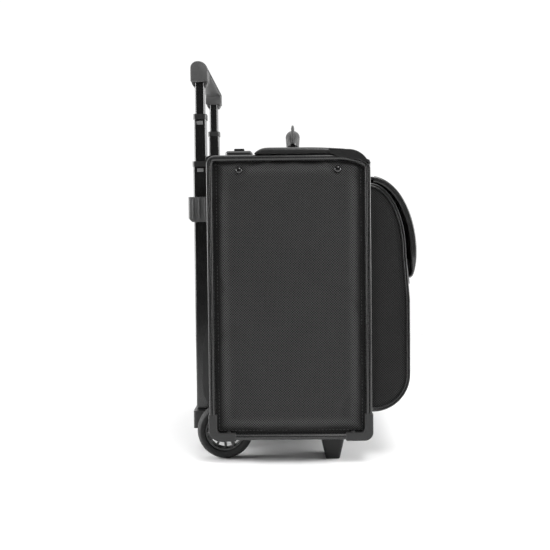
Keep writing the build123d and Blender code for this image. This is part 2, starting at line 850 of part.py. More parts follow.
for side, s in SIDES:
    centre_x = s * lock_x
    with BuildPart() as lock_base:
        block(
            (centre_x - lock_size[0] / 2, centre_x + lock_size[0] / 2),
            (lock_y - lock_size[1] / 2, lock_y + lock_size[1] / 2),
            (top_z, top_z + lock_size[2]),
        )
        fillet(lock_base.edges().filter_by(Axis.Z), radius=4)
        chamfer(lock_base.faces().sort_by(Axis.Z)[-1].edges(), length=2.2)
        for offset_x in dial_offsets:
            dial_mid = centre_x + s * offset_x
            block(
                (dial_mid - dial_thickness / 2 - 0.3, dial_mid + dial_thickness / 2 + 0.3),
                (lock_y - dial_radius - 0.4, lock_y + dial_radius + 0.4),
                (top_z + 0.2, top_z + 20),
                mode=Mode.SUBTRACT,
            )
        rod(
            centre_x + s * (dial_offsets[0] - 6), centre_x + s * (dial_offsets[-1] + 6),
            lock_y, dial_z, spindle_radius,
        )
        block(
            (centre_x + s * (slider_offset - 5), centre_x + s * (slider_offset + 5 + slider_travel)),
            (lock_y - slider_slot, lock_y + slider_slot),
            (top_z + 3, top_z + 20),
            mode=Mode.SUBTRACT,
        )
        block(
            (centre_x - tongue_half - 0.6, centre_x + tongue_half + 0.6),
            (lock_y - lock_size[1] / 2 - 1, tongue_y[1] + 0.8),
            (top_z - 1, top_z + 20),
            mode=Mode.SUBTRACT,
        )
    save(lock_base.part, f"lock_base_{side}")

    with BuildPart() as lock_slider:
        block(
            (centre_x + s * slider_offset - slider_neck[0], centre_x + s * slider_offset + slider_neck[0]),
            (lock_y - slider_neck[1], lock_y + slider_neck[1]),
            (top_z + 3.3, top_z + lock_size[2] + 0.3),
        )
        block(
            (centre_x + s * slider_offset - slider_head[0], centre_x + s * slider_offset + slider_head[0]),
            (lock_y - slider_head[1], lock_y + slider_head[1]),
            (top_z + lock_size[2] + 0.3, top_z + lock_size[2] + 4.0),
        )
        fillet(lock_slider.faces().sort_by(Axis.Z)[-1].edges(), radius=1.2)
    save(lock_slider.part, f"lock_slider_{side}")

    for number, offset_x in enumerate(dial_offsets, start=1):
        dial_x0 = centre_x + s * offset_x - dial_thickness / 2
        with BuildPart() as dial:
            rod(dial_x0, dial_x0 + dial_thickness, lock_y, dial_z, dial_radius)
            with BuildSketch(Plane.YZ.offset(dial_x0)):
                with Locations((lock_y, dial_z)):
                    with PolarLocations(dial_radius, 10):
                        Circle(0.45)
            extrude(amount=1.4, mode=Mode.SUBTRACT)
            rod(
                dial_x0 - 1, dial_x0 + dial_thickness + 1,
                lock_y, dial_z, spindle_radius + 0.08, mode=Mode.SUBTRACT,
            )
        save(dial.part, f"dial_{side}_{number}")

# ---------------------------------------------------------------- front pocket
pocket_top_z = 350.0
pocket_front_y = -138.5
shoulder_y = -134.0
shoulder_z = 262.0
pocket_foot_z = 60.0
pocket_bend = 48.0
pocket_slope_z = 202.0
mouth_z = 305.0


def pocket_outline(inset):
    """The edges of the pocket's side profile, drawn in by that much all round."""
    back_y = front_y - inset
    shoulder = shoulder_y + inset
    face_y = pocket_front_y + inset
    foot_z = pocket_foot_z + inset
    bend_radius = pocket_bend - inset
    root_z = pocket_top_z - inset
    bend_z = pocket_foot_z + pocket_bend
    with BuildLine() as outline:
        EllipticalCenterArc(
            (back_y, shoulder_z), back_y - shoulder, root_z - shoulder_z,
            start_angle=90, arc_size=90,
        )
        Polyline((shoulder, shoulder_z), (face_y, pocket_slope_z), (face_y, bend_z))
        CenterArc((face_y + bend_radius, bend_z), bend_radius, 180, 90)
        Polyline((face_y + bend_radius, foot_z), (back_y, foot_z), (back_y, root_z))
    return outline.edges()


with BuildPart() as pocket_sides:
    for _, s in SIDES:
        with BuildSketch(Plane.YZ.offset(s * (pocket_half - pocket_wall))):
            make_face(pocket_outline(0))
        extrude(amount=s * pocket_wall)
save(pocket_sides.part, "pocket_sides")

with BuildPart() as pocket_shell:
    with BuildSketch(Plane.YZ.offset(-pocket_half + pocket_wall)):
        make_face(pocket_outline(0))
        make_face(pocket_outline(pocket_wall), mode=Mode.SUBTRACT)
        with Locations(((front_y + pocket_front_y) / 2, mouth_z + 50)):
            Rectangle(front_y - pocket_front_y - 2 * pocket_wall, 100, mode=Mode.SUBTRACT)
    extrude(amount=2 * (pocket_half - pocket_wall))
save(pocket_shell.part, "pocket_shell")

clasp_x = 150.0
clasp_half = 22.0
clasp_z = (221.0, 253.0)
clasp_depth = 4.4
flap_tongue_half = 18.0
flap_tongue = 1.6
pocket_slope = (shoulder_y - pocket_front_y) / (shoulder_z - pocket_slope_z)
clasp_y = [pocket_front_y + pocket_slope * (z - pocket_slope_z) for z in clasp_z]

with BuildPart() as clasp_plate:
    for _, s in SIDES:
        with BuildSketch(Plane.YZ.offset(s * clasp_x - clasp_half)):
            with BuildLine():
                Polyline(
                    (clasp_y[0], clasp_z[0]), (clasp_y[0] - clasp_depth, clasp_z[0]),
                    (clasp_y[1] - clasp_depth, clasp_z[1]), (clasp_y[1], clasp_z[1]), close=True,
                )
            make_face()
        extrude(amount=2 * clasp_half)
save(clasp_plate.part, "clasp_plate")

flap_root_y = front_y - 0.4


def flap_outline(inset):
    """The edges round the area under the flap's surface, inset by that much."""
    with BuildLine() as outline:
        EllipticalCenterArc(
            (flap_root_y, shoulder_z), flap_root_y - flap_front_y - inset, flap_root_z - shoulder_z - inset,
            start_angle=90, arc_size=90,
        )
        Polyline(
            (flap_front_y + inset, shoulder_z), (flap_front_y + inset, flap_bottom_z),
            (flap_root_y, flap_bottom_z), (flap_root_y, flap_root_z - inset),
        )
    return outline.edges()


with BuildPart() as pocket_flap:
    with BuildSketch(Plane.YZ.offset(-pocket_half)):
        make_face(flap_outline(0))
        make_face(flap_outline(flap_shell), mode=Mode.SUBTRACT)
    extrude(amount=2 * pocket_half)
    lower_corners = pocket_flap.edges().filter_by(Axis.Y).group_by(Axis.Z)[0]
    fillet(lower_corners, radius=28)
save(pocket_flap.part, "pocket_flap")

with BuildPart() as clasp_tongue:
    flap_inner_y = flap_front_y + flap_shell
    for _, s in SIDES:
        block(
            (s * clasp_x - flap_tongue_half, s * clasp_x + flap_tongue_half),
            (flap_inner_y, flap_inner_y + flap_tongue),
            (flap_bottom_z + 3, clasp_z[1] - 1),
        )
    fillet(clasp_tongue.edges().filter_by(Axis.Y), radius=4)
save(clasp_tongue.part, "clasp_tongue")
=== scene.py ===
import math
from collections import Counter

import bmesh
import bpy
import numpy as np
from mathutils import Matrix, Vector


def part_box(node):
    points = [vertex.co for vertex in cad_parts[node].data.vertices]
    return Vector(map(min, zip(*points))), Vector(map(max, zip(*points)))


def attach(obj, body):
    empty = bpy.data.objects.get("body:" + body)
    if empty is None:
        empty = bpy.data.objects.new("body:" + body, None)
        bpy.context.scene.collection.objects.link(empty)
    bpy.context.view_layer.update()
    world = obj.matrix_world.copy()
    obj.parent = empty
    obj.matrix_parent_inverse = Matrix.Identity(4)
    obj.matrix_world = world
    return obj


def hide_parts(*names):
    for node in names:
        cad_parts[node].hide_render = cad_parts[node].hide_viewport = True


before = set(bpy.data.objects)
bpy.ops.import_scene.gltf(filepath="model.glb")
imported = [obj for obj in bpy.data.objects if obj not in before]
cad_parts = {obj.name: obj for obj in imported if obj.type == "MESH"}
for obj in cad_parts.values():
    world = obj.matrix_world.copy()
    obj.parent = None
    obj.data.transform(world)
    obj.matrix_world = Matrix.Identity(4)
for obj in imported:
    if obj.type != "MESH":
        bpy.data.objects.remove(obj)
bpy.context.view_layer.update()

# ------------------------------------------------------------ sizes, in millimetres
MM = 0.001
SIDES = (("left", -1), ("right", 1))


def box_mm(node):
    """A CAD node's lowest and highest corners, in millimetres."""
    low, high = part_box(node)
    return np.array(low) / MM, np.array(high) / MM


COVER_LOW, COVER_HIGH = box_mm("side_cover_right")
TRIM_LOW, TRIM_HIGH = box_mm("side_trim_right")
FRONT, REAR = COVER_LOW[1], COVER_HIGH[1]
BOTTOM, TOP = COVER_LOW[2], COVER_HIGH[2]
SKIN_X, FACE_X = TRIM_LOW[0], TRIM_HIGH[0]
LID_HIGH = box_mm("lid_cover")[1]
BOARD_LOW, BOARD_HIGH = box_mm("lid_board")
LID_UNDER = BOARD_LOW[2]
POCKET_LOW, POCKET_HIGH = box_mm("pocket_sides")
FLAP_LOW, FLAP_HIGH = box_mm("pocket_flap")
GUARD_HIGH = box_mm("corner_guards")[1]
HANDLE_LOW, HANDLE_HIGH = box_mm("handle_grip")
GRIP_LOW, GRIP_HIGH = box_mm("trolley_grip")
TYRE_LOW, TYRE_HIGH = box_mm("tyre_right")
FRONT_TOP = box_mm("front_cover")[1][2]
RIVET_LOW, RIVET_HIGH = box_mm("side_rivets")
RIVETS = (RIVET_LOW[1] + 5.0, RIVET_HIGH[1] - 5.0)
RIVET_Z = (RIVET_LOW[2] + RIVET_HIGH[2]) / 2

# Corner radii of the side's outline: the top ones, the rear foot and the front foot.
CORNER = 11.0
FOOT_CORNER = 14.0
FRONT_FOOT = 10.0
# The top is level behind DROOP_Y and droops in one arc in front of it.
DROOP_Y = -50.0
DROOP_RUN = DROOP_Y - FRONT
DROOP = TOP - FRONT_TOP
DROOP_RADIUS = (DROOP_RUN**2 + DROOP**2) / (2 * DROOP)
DROOP_Z = TOP - DROOP_RADIUS
# The rear cloth folds over the deck, and is cut away round each wheel.
REAR_FOLD = 3.0
WELL_INNER, WELL_OUTER = TYRE_LOW[0] - 12.0, TYRE_HIGH[0] + 12.0
WELL_TOP = TYRE_HIGH[2] + 2.7
# The pocket and its flap are rounded above the shoulder; normals point away from the middle.
SHOULDER_Y, SHOULDER_Z = -134.0, 262.0
POCKET_MIDDLE_Z = 220.0
# Where the legs of the trolley's grip end.
LEG_FOOT = 490.0


# ------------------------------------------------------------ mesh tools
def add_mesh(name, points, faces, uv=None, sharp=38.0):
    """A new mesh object from points in millimetres; uv is a place on the cloth for each point."""
    mesh = bpy.data.meshes.new(name)
    scaled = np.asarray(points, float).reshape(-1, 3) * MM
    mesh.from_pydata(scaled.tolist(), [], [tuple(int(i) for i in f) for f in faces])
    if uv is not None:
        layer = mesh.uv_layers.new(name="cloth")
        corners = np.empty(len(mesh.loops), int)
        mesh.loops.foreach_get("vertex_index", corners)
        flat = np.asarray(uv, np.float32).reshape(-1, 2)[corners]
        layer.data.foreach_set("uv", flat.ravel())
    tidy = bmesh.new()
    tidy.from_mesh(mesh)
    bmesh.ops.recalc_face_normals(tidy, faces=tidy.faces)
    tidy.to_mesh(mesh)
    tidy.free()
    mesh.polygons.foreach_set("use_smooth", [True] * len(mesh.polygons))
    mesh.set_sharp_from_angle(angle=math.radians(sharp))
    piece = bpy.data.objects.new(name, mesh)
    bpy.context.scene.collection.objects.link(piece)
    return piece


def grid_faces(rows, cols):
    """Quads over a grid of points stored row by row."""
    corners = [r * cols + c for r in range(rows - 1) for c in range(cols - 1)]
    return [(i, i + 1, i + cols + 1, i + cols) for i in corners]


def slab(name, front, back, uv, shade=None, keep=None, sharp=50.0):
    """A closed sheet between two grids of points, walled round its border and round any faces left out."""
    rows, cols = front.shape[:2]
    count = rows * cols
    quads = grid_faces(rows, cols)
    if keep is not None:
        quads = [quad for quad, kept in zip(quads, keep.ravel()) if kept]
    edges = [pair for quad in quads for pair in zip(quad, quad[1:] + quad[:1])]
    shared = Counter(frozenset(pair) for pair in edges)
    walls = [(b, a, a + count, b + count) for a, b in edges if shared[frozenset((a, b))] == 1]
    faces = quads + [tuple(i + count for i in quad[::-1]) for quad in quads] + walls
    used = np.unique([i for face in faces for i in face])
    renumbered = np.full(2 * count, -1)
    renumbered[used] = np.arange(len(used))
    faces = [renumbered[list(face)] for face in faces]
    points = np.concatenate([front.reshape(-1, 3), back.reshape(-1, 3)])[used]
    piece = add_mesh(name, points, faces, np.concatenate([uv.reshape(-1, 2)] * 2)[used], sharp)
    if shade is not None:
        paint(piece, np.concatenate([shade.ravel(), np.ones(count)])[used])
    return piece


def loft(name, loops, closed=False, sharp=38.0):
    """A tube through loops of points; its ends are capped unless it closes on itself."""
    loops = np.asarray(loops, float)
    count, size = loops.shape[:2]
    faces = []
    for k in range(count if closed else count - 1):
        a, b = k * size, (k + 1) % count * size
        faces += [(a + i, a + (i + 1) % size, b + (i + 1) % size, b + i) for i in range(size)]
    if not closed:
        faces.append(tuple(range(size))[::-1])
        faces.append(tuple((count - 1) * size + i for i in range(size)))
    return add_mesh(name, loops, faces, sharp=sharp)


def arc(centre, radius, start, end, steps):
    """Points on an arc, between two angles in degrees; a pair of radii makes it part of an ellipse."""
    angles = np.radians(np.linspace(start, end, steps + 1))
    return np.array(centre) + np.stack([np.cos(angles), np.sin(angles)], 1) * radius


def travel(path):
    """How far along a path each of its points is."""
    return np.concatenate([[0], np.cumsum(np.linalg.norm(np.diff(path, axis=0), axis=1))])


def at_x(x, flat):
    """Points of a flat path in Y and Z, stood at one X."""
    return np.stack([np.full(len(flat), float(x)), flat[:, 0], flat[:, 1]], 1)


def at_y(y, flat):
    """Points of a flat path in X and Z, stood at one Y."""
    return at_x(y, flat)[:, (1, 0, 2)]


def rectangle(left, right, low, high):
    """The corners of an upright rectangle."""
    return [(left, low), (right, low), (right, high), (left, high)]


def resample(points, step):
    """Evenly spaced points along a line of straight runs."""
    points = np.asarray(points, float)
    along = travel(points)
    places = np.linspace(0, along[-1], max(2, int(round(along[-1] / step)) + 1))
    return np.stack([np.interp(places, along, points[:, k]) for k in range(points.shape[1])], 1)


def left_normals(points, closed=False):
    """Unit normals to the left of a flat path's direction."""
    if closed:
        ahead = np.roll(points, -1, 0) - np.roll(points, 1, 0)
    else:
        ahead = np.gradient(points, axis=0)
    ahead /= np.linalg.norm(ahead, axis=1)[:, None]
    return np.stack([-ahead[:, 1], ahead[:, 0]], 1)


def smooth(t):
    """A smooth step from 0 to 1."""
    t = np.clip(t, 0, 1)
    return t * t * (3 - 2 * t)


def ripple(u, v, seed=0.0):
    """A gentle uneven surface between -1 and 1, over lengths of some centimetres."""
    a = np.sin(u / 23 + 1.3 * np.sin(v / 31 + seed) + seed)
    b = np.sin(v / 19 + 1.7 * np.sin(u / 37 + 2 * seed) + 0.7)
    c = np.sin((u + v) / 13 + seed * 3) * np.sin((u - v) / 17 + 0.4)
    return (a + b + c) / 3


def join(name, pieces):
    """One object from several, with all their meshes."""
    merged = bmesh.new()
    for piece in pieces:
        merged.from_mesh(piece.data)
    mesh = bpy.data.meshes.new(name)
    merged.to_mesh(mesh)
    merged.free()
    for piece in pieces:
        bpy.data.objects.remove(piece)
    piece = bpy.data.objects.new(name, mesh)
    bpy.context.scene.collection.objects.link(piece)
    return piece


def bevel(piece, width, segments):
    """Rounds a piece's sharp edges by a width in millimetres."""
    rounding = piece.modifiers.new("rounding", "BEVEL")
    rounding.width = width * MM
    rounding.segments = segments
    rounding.limit_method = "ANGLE"
    rounding.angle_limit = math.radians(35.0)
    rounding.harden_normals = False
    return piece


def prism(name, outline, low, high, axis="X", round_by=0.6, segments=3):
    """An outline pushed along X or Y, with its edges rounded."""
    outline = np.asarray(outline, float)
    stand = at_x if axis == "X" else at_y
    return bevel(loft(name, [stand(low, outline), stand(high, outline)]), round_by, segments)


def stitches(name, places, ahead, up):
    """A row of sewn stitches: one small grain of thread at each place."""
    length, radius, sides = 3.0, 0.45, 6
    rings = [(-0.5, 0.15), (-0.4, 0.75), (-0.15, 1.0), (0.15, 1.0), (0.4, 0.75), (0.5, 0.15)]
    points, faces = [], []
    for place, along, out in zip(places, ahead, up):
        along = along / np.linalg.norm(along)
        side = np.cross(along, out)
        side /= np.linalg.norm(side)
        start = len(points)
        for reach, size in rings:
            for k in range(sides):
                turn = 2 * math.pi * k / sides
                rim = radius * size * (math.cos(turn) * side + math.sin(turn) * 0.8 * out)
                points.append(place + along * reach * length + rim)
        for r in range(len(rings) - 1):
            a, b = start + r * sides, start + (r + 1) * sides
            faces += [(a + k, a + (k + 1) % sides, b + (k + 1) % sides, b + k) for k in range(sides)]
        faces.append(tuple(start + k for k in range(sides))[::-1])
        faces.append(tuple(len(points) - sides + k for k in range(sides)))
    return add_mesh(name, points, faces, sharp=80)


def paint(piece, values):
    """Stores a number for each point, which the cloth materials read as how shaded it is."""
    layer = piece.data.attributes.new("shade", "FLOAT", "POINT")
    layer.data.foreach_set("value", np.asarray(values, np.float32).ravel())


def settle(piece, pinned, pressure, cap, frames=20):
    """Runs a short cloth simulation on the piece and keeps its shape, no point moved by more than cap."""
    scene = bpy.context.scene
    group = piece.vertex_groups.new(name="sewn")
    group.add([int(i) for i in pinned], 1.0, "REPLACE")
    cloth = piece.modifiers.new("cloth", "CLOTH")
    cloth.settings.quality = 6
    cloth.settings.mass = 0.3
    cloth.settings.tension_stiffness = 20
    cloth.settings.compression_stiffness = 20
    cloth.settings.bending_stiffness = 1.0
    cloth.settings.shrink_min = -0.02
    cloth.settings.use_pressure = True
    cloth.settings.uniform_pressure_force = pressure
    cloth.settings.vertex_group_mass = group.name
    cloth.settings.effector_weights.gravity = 0
    cloth.point_cache.frame_start = 1
    cloth.point_cache.frame_end = frames
    for number in range(1, frames + 1):
        scene.frame_set(number)
    ready = piece.evaluated_get(bpy.context.evaluated_depsgraph_get())
    after = np.empty(len(ready.data.vertices) * 3)
    ready.data.vertices.foreach_get("co", after)
    before = np.empty(len(piece.data.vertices) * 3)
    piece.data.vertices.foreach_get("co", before)
    before, after = before.reshape(-1, 3), after.reshape(-1, 3)
    moved = after - before
    far = np.linalg.norm(moved, axis=1)
    moved *= np.minimum(1, cap * MM / np.maximum(far, 1e-9))[:, None]
    piece.modifiers.remove(cloth)
    piece.vertex_groups.remove(group)
    piece.data.vertices.foreach_set("co", (before + moved).ravel())
    piece.data.update()
    scene.frame_set(1)


# ------------------------------------------------------------ materials
def srgb(value):
    """A grey of 0 to 255, as seen on a screen, as a linear number."""
    value /= 255
    return value / 12.92 if value <= 0.04045 else ((value + 0.055) / 1.055) ** 2.4


class Maker:
    """Builds one node material round a Principled shader."""

    def __init__(self, name, grey, roughness, **sockets):
        self.material = bpy.data.materials.new(name)
        self.material.use_nodes = True
        self.nodes = self.material.node_tree.nodes
        self.links = self.material.node_tree.links
        self.shader = self.nodes["Principled BSDF"]
        self.base = [srgb(grey)] * 3
        self.shader.inputs["Base Color"].default_value = (*self.base, 1)
        self.shader.inputs["Roughness"].default_value = roughness
        for socket, value in sockets.items():
            self.shader.inputs[socket.replace("_", " ")].default_value = value
        self.material.diffuse_color = (*self.base, 1)

    def node(self, kind, **values):
        """A new node, with its settings."""
        made = self.nodes.new(kind)
        for key, value in values.items():
            setattr(made, key, value)
        return made

    def math(self, operation, a, b=None):
        """A Math node's output, fed by sockets or numbers."""
        made = self.node("ShaderNodeMath", operation=operation)
        for slot, value in enumerate((a, b)):
            if isinstance(value, bpy.types.NodeSocket):
                self.links.new(value, made.inputs[slot])
            elif value is not None:
                made.inputs[slot].default_value = value
        return made.outputs[0]

    def place(self, source="Object", scale=1000.0):
        """Where a point is, in millimetres, on the object or on the cloth."""
        coordinates = self.node("ShaderNodeTexCoord")
        scaled = self.node("ShaderNodeVectorMath", operation="SCALE")
        self.links.new(coordinates.outputs[source], scaled.inputs[0])
        scaled.inputs["Scale"].default_value = scale
        return scaled.outputs[0]

    def noise(self, vector, period, detail=3.0):
        """Noise whose grains are about that many millimetres."""
        made = self.node("ShaderNodeTexNoise")
        self.links.new(vector, made.inputs["Vector"])
        made.inputs["Scale"].default_value = 1 / period
        made.inputs["Detail"].default_value = detail
        return made.outputs["Fac"]

    def range(self, value, low, high):
        """A number from 0 to 1, spread from low to high."""
        made = self.node("ShaderNodeMapRange")
        self.links.new(value, made.inputs["Value"])
        made.inputs["To Min"].default_value = low
        made.inputs["To Max"].default_value = high
        return made.outputs["Result"]

    def colour(self, factor):
        """The base colour, made darker or lighter by a factor."""
        made = self.node("ShaderNodeVectorMath", operation="SCALE")
        made.inputs[0].default_value = self.base
        self.links.new(factor, made.inputs["Scale"])
        self.links.new(made.outputs[0], self.shader.inputs["Base Color"])

    def roughness(self, value):
        """Roughness from a socket."""
        self.links.new(value, self.shader.inputs["Roughness"])

    def bump(self, heights):
        """Bumps laid over each other: pairs of a height and how many millimetres it stands."""
        last = None
        for height, distance in heights:
            made = self.node("ShaderNodeBump")
            made.inputs["Distance"].default_value = distance * MM
            self.links.new(height, made.inputs["Height"])
            if last is not None:
                self.links.new(last, made.inputs["Normal"])
            last = made.outputs["Normal"]
        self.links.new(last, self.shader.inputs["Normal"])


def weave_height(maker, place, pitch):
    """How high a basket weave's threads stand, in pairs over and under, and where the upright ones show."""
    split = maker.node("ShaderNodeSeparateXYZ")
    maker.links.new(place, split.inputs[0])
    across = maker.math("DIVIDE", split.outputs[0], pitch)
    along = maker.math("DIVIDE", split.outputs[1], pitch)
    pair = maker.math("FLOOR", maker.math("MULTIPLY", across, 0.5))
    step = maker.math("ADD", pair, maker.math("FLOOR", maker.math("MULTIPLY", along, 0.5)))
    over = maker.math("LESS_THAN", maker.math("FLOORED_MODULO", step, 2.0), 1.0)
    warp = maker.math("SINE", maker.math("MULTIPLY", maker.math("FRACT", across), math.pi))
    weft = maker.math("SINE", maker.math("MULTIPLY", maker.math("FRACT", along), math.pi))
    raised = maker.math("MULTIPLY", over, maker.math("ADD", maker.math("MULTIPLY", warp, 0.5), 0.5))
    sunk = maker.math("MULTIPLY", maker.math("SUBTRACT", 1.0, over), maker.math("MULTIPLY", weft, 0.6))
    return maker.math("ADD", raised, sunk), over


def nylon(name, grey=37, pitch=0.78):
    """Coarse ballistic nylon; its colour is darkened by the painted shade stored on the mesh, and lightened
    as a painted highlight where that value is below zero.
    """
    maker = Maker(name, grey, 0.62, Sheen_Weight=0.06, Sheen_Roughness=0.4)
    maker.shader.inputs["Specular IOR Level"].default_value = 0.22
    place = maker.place("UV", 1.0)
    height, over = weave_height(maker, place, pitch)
    shade = maker.node("ShaderNodeAttribute", attribute_name="shade").outputs["Fac"]
    patches = maker.range(maker.noise(place, 30.0), 0.88, 1.12)
    threads = maker.math("MULTIPLY", maker.range(height, 0.4, 1.25), maker.range(over, 0.2, 2.3))
    # Painted shade from the mesh darkens the colour here; a value below zero is a painted highlight.
    lit = maker.math("SUBTRACT", 1.0, maker.math("MULTIPLY", shade, 0.8))
    maker.colour(maker.math("MULTIPLY", maker.math("MULTIPLY", threads, patches), lit))
    maker.roughness(maker.range(height, 0.75, 0.5))
    maker.bump([(height, 0.22), (maker.noise(place, 4.0), 0.25)])
    return maker.material


def vinyl(name, grey=64, roughness=0.34):
    """Smooth vinyl with a fine leather grain."""
    maker = Maker(name, grey, roughness)
    maker.shader.inputs["Specular IOR Level"].default_value = 0.55
    place = maker.place()
    grain = maker.noise(place, 0.55, 4.0)
    patches = maker.noise(place, 14.0)
    maker.colour(maker.range(patches, 0.8, 1.2))
    maker.roughness(maker.range(grain, roughness - 0.08, roughness + 0.14))
    maker.bump([(grain, 0.06), (patches, 0.25)])
    return maker.material


def leather(name, grey=58):
    """Pebbled leather with creases and rubbed high spots."""
    maker = Maker(name, grey, 0.34)
    place = maker.place()
    pebbles = maker.node("ShaderNodeTexVoronoi", feature="DISTANCE_TO_EDGE")
    maker.links.new(place, pebbles.inputs["Vector"])
    pebbles.inputs["Scale"].default_value = 0.9
    cells = maker.math("MINIMUM", pebbles.outputs["Distance"], 0.25)
    patches = maker.noise(place, 11.0)
    wear_and_highlight = maker.node("ShaderNodeNewGeometry").outputs["Pointiness"]
    wear = maker.math("MULTIPLY", maker.math("SUBTRACT", wear_and_highlight, 0.5), 3.0)
    maker.colour(maker.math("ADD", maker.range(patches, 0.75, 1.2), wear))
    maker.roughness(maker.range(patches, 0.26, 0.45))
    maker.bump([(cells, 0.35), (maker.noise(place, 0.5), 0.05)])
    return maker.material


def moulded(name, grey, roughness=0.5, grain=0.5, depth=0.05):
    """Moulded plastic with a spark-eroded grain and faint handling marks."""
    maker = Maker(name, grey, roughness)
    place = maker.place()
    fine = maker.noise(place, grain, 2.0)
    marks = maker.noise(place, 18.0)
    maker.colour(maker.range(marks, 0.86, 1.14))
    maker.roughness(maker.range(marks, roughness - 0.07, roughness + 0.09))
    maker.bump([(fine, depth)])
    return maker.material


def rubber(name, grey=14):
    """Dull tyre rubber with scuffs."""
    maker = Maker(name, grey, 0.68)
    place = maker.place()
    scuffs = maker.noise(place, 3.0, 6.0)
    maker.colour(maker.range(scuffs, 0.7, 1.35))
    maker.roughness(maker.range(scuffs, 0.55, 0.8))
    maker.bump([(scuffs, 0.12)])
    return maker.material


def metal(name, grey, roughness, stretch=(1, 1, 1)):
    """Bare metal with fine brushing along one direction."""
    maker = Maker(name, grey, roughness, Metallic=1.0)
    mapping = maker.node("ShaderNodeMapping")
    maker.links.new(maker.place(), mapping.inputs["Vector"])
    mapping.inputs["Scale"].default_value = stretch
    lines = maker.noise(mapping.outputs[0], 0.7, 2.0)
    maker.colour(maker.range(lines, 0.85, 1.1))
    maker.roughness(maker.range(lines, roughness - 0.05, roughness + 0.1))
    maker.bump([(lines, 0.01)])
    return maker.material


def enamel(name, grey, roughness=0.3):
    """Satin black paint or anodising on metal, slightly uneven."""
    maker = Maker(name, grey, roughness, Coat_Weight=0.25, Coat_Roughness=0.2)
    place = maker.place()
    peel = maker.noise(place, 1.6, 2.0)
    wear = maker.noise(place, 25.0, 4.0)
    maker.colour(maker.range(wear, 0.8, 1.2))
    maker.roughness(maker.range(wear, roughness - 0.06, roughness + 0.1))
    maker.bump([(peel, 0.02)])
    return maker.material


def lining(name, grey=92):
    """Plain-woven lining cloth glued to the boards."""
    maker = Maker(name, grey, 0.8, Sheen_Weight=0.3)
    place = maker.place()
    split = maker.node("ShaderNodeSeparateXYZ")
    maker.links.new(place, split.inputs[0])
    x, y, z = [maker.math("SINE", maker.math("MULTIPLY", split.outputs[k], 5.2)) for k in range(3)]
    threads = maker.math("ADD", maker.math("MULTIPLY", x, z), maker.math("MULTIPLY", y, z))
    patches = maker.noise(place, 22.0)
    maker.colour(maker.math("ADD", maker.range(threads, 0.85, 1.0), maker.range(patches, -0.1, 0.12)))
    maker.bump([(threads, 0.08), (patches, 0.2)])
    return maker.material


def thread(name, grey=96):
    """Twisted sewing thread."""
    maker = Maker(name, grey, 0.6, Sheen_Weight=0.1)
    twist = maker.noise(maker.place(), 0.4, 2.0)
    maker.colour(maker.range(twist, 0.7, 1.3))
    maker.bump([(twist, 0.08)])
    return maker.material


CLOTH = nylon("ballistic_nylon")
POCKET_CLOTH = nylon("pocket_nylon", grey=26)
TRIM = vinyl("edge_vinyl", grey=36, roughness=0.25)
TOP_VINYL = vinyl("lid_vinyl", grey=34, roughness=0.3)
HIDE = leather("handle_leather", grey=27)
GUARD = moulded("guard_plastic", 36, 0.5)
GRIP = moulded("grip_plastic", 71, 0.5, grain=0.8, depth=0.08)
BLACK = moulded("black_plastic", 30, 0.42)
BRACKET = moulded("bracket_plastic", 86, 0.45)
RIM = moulded("rim_plastic", 46, 0.42)
FOOT = moulded("foot_plastic", 8, 0.6)
TYRE = rubber("tyre_rubber")
TUBE = enamel("tube_black", 21, 0.2)
LOCK = enamel("lock_black", 44, 0.35)
RIVET = enamel("rivet_black", 18, 0.15)
CATCH = moulded("catch_grey", 105, 0.45)
STEEL = metal("steel", 170, 0.32, stretch=(0.1, 1, 1))
BRIGHT = metal("bright_metal", 158, 0.30)
LINING = lining("lining_cloth")
THREAD = thread("thread", grey=28)
INK = moulded("dial_ink", 20, 0.5)


def dress(piece, material, body, replaces=()):
    """Gives a piece its material and body, and hides the CAD nodes it stands for."""
    piece.data.materials.clear()
    piece.data.materials.append(material)
    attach(piece, body)
    if replaces:
        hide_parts(*replaces)
    return piece


def recolour(material, *nodes):
    """Gives CAD nodes a material of this script's."""
    for node in nodes:
        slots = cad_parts[node].data.materials
        slots.clear()
        slots.append(material)


# ------------------------------------------------------------ sides: pads, trims, stitches
def side_outline(step=5.0):
    """The closed outline of the case's side, anticlockwise seen from +X, as points and outward normals."""
    tip_y = FRONT + CORNER
    reach = DROOP_RADIUS - CORNER
    tip_z = DROOP_Z + math.sqrt(reach**2 - (tip_y - DROOP_Y) ** 2)
    meet = math.degrees(math.atan2(tip_z - DROOP_Z, tip_y - DROOP_Y))
    points = np.concatenate([
        arc((REAR - FOOT_CORNER, BOTTOM + FOOT_CORNER), FOOT_CORNER, -90, 0, 16),
        arc((REAR - CORNER, TOP - CORNER), CORNER, 0, 90, 16),
        arc((DROOP_Y, DROOP_Z), DROOP_RADIUS, 90, meet, 20)[:-1],
        arc((tip_y, tip_z), CORNER, meet, 180, 12),
        arc((FRONT + FRONT_FOOT, BOTTOM + FRONT_FOOT), FRONT_FOOT, 180, 270, 16),
    ])
    closed = resample(np.concatenate([points, points[:1]]), step / 2)[:-1]
    return closed, -left_normals(closed, closed=True)


def roll_share(points):
    """How much each outline point belongs to the level edges, which are one wide roll, from 0 to 1."""
    upper = smooth((points[:, 1] - (TOP - 10)) / 5) * smooth((points[:, 0] - (FRONT + 14)) / 14)
    return np.maximum(upper, smooth((BOTTOM + 6 - points[:, 1]) / 4))


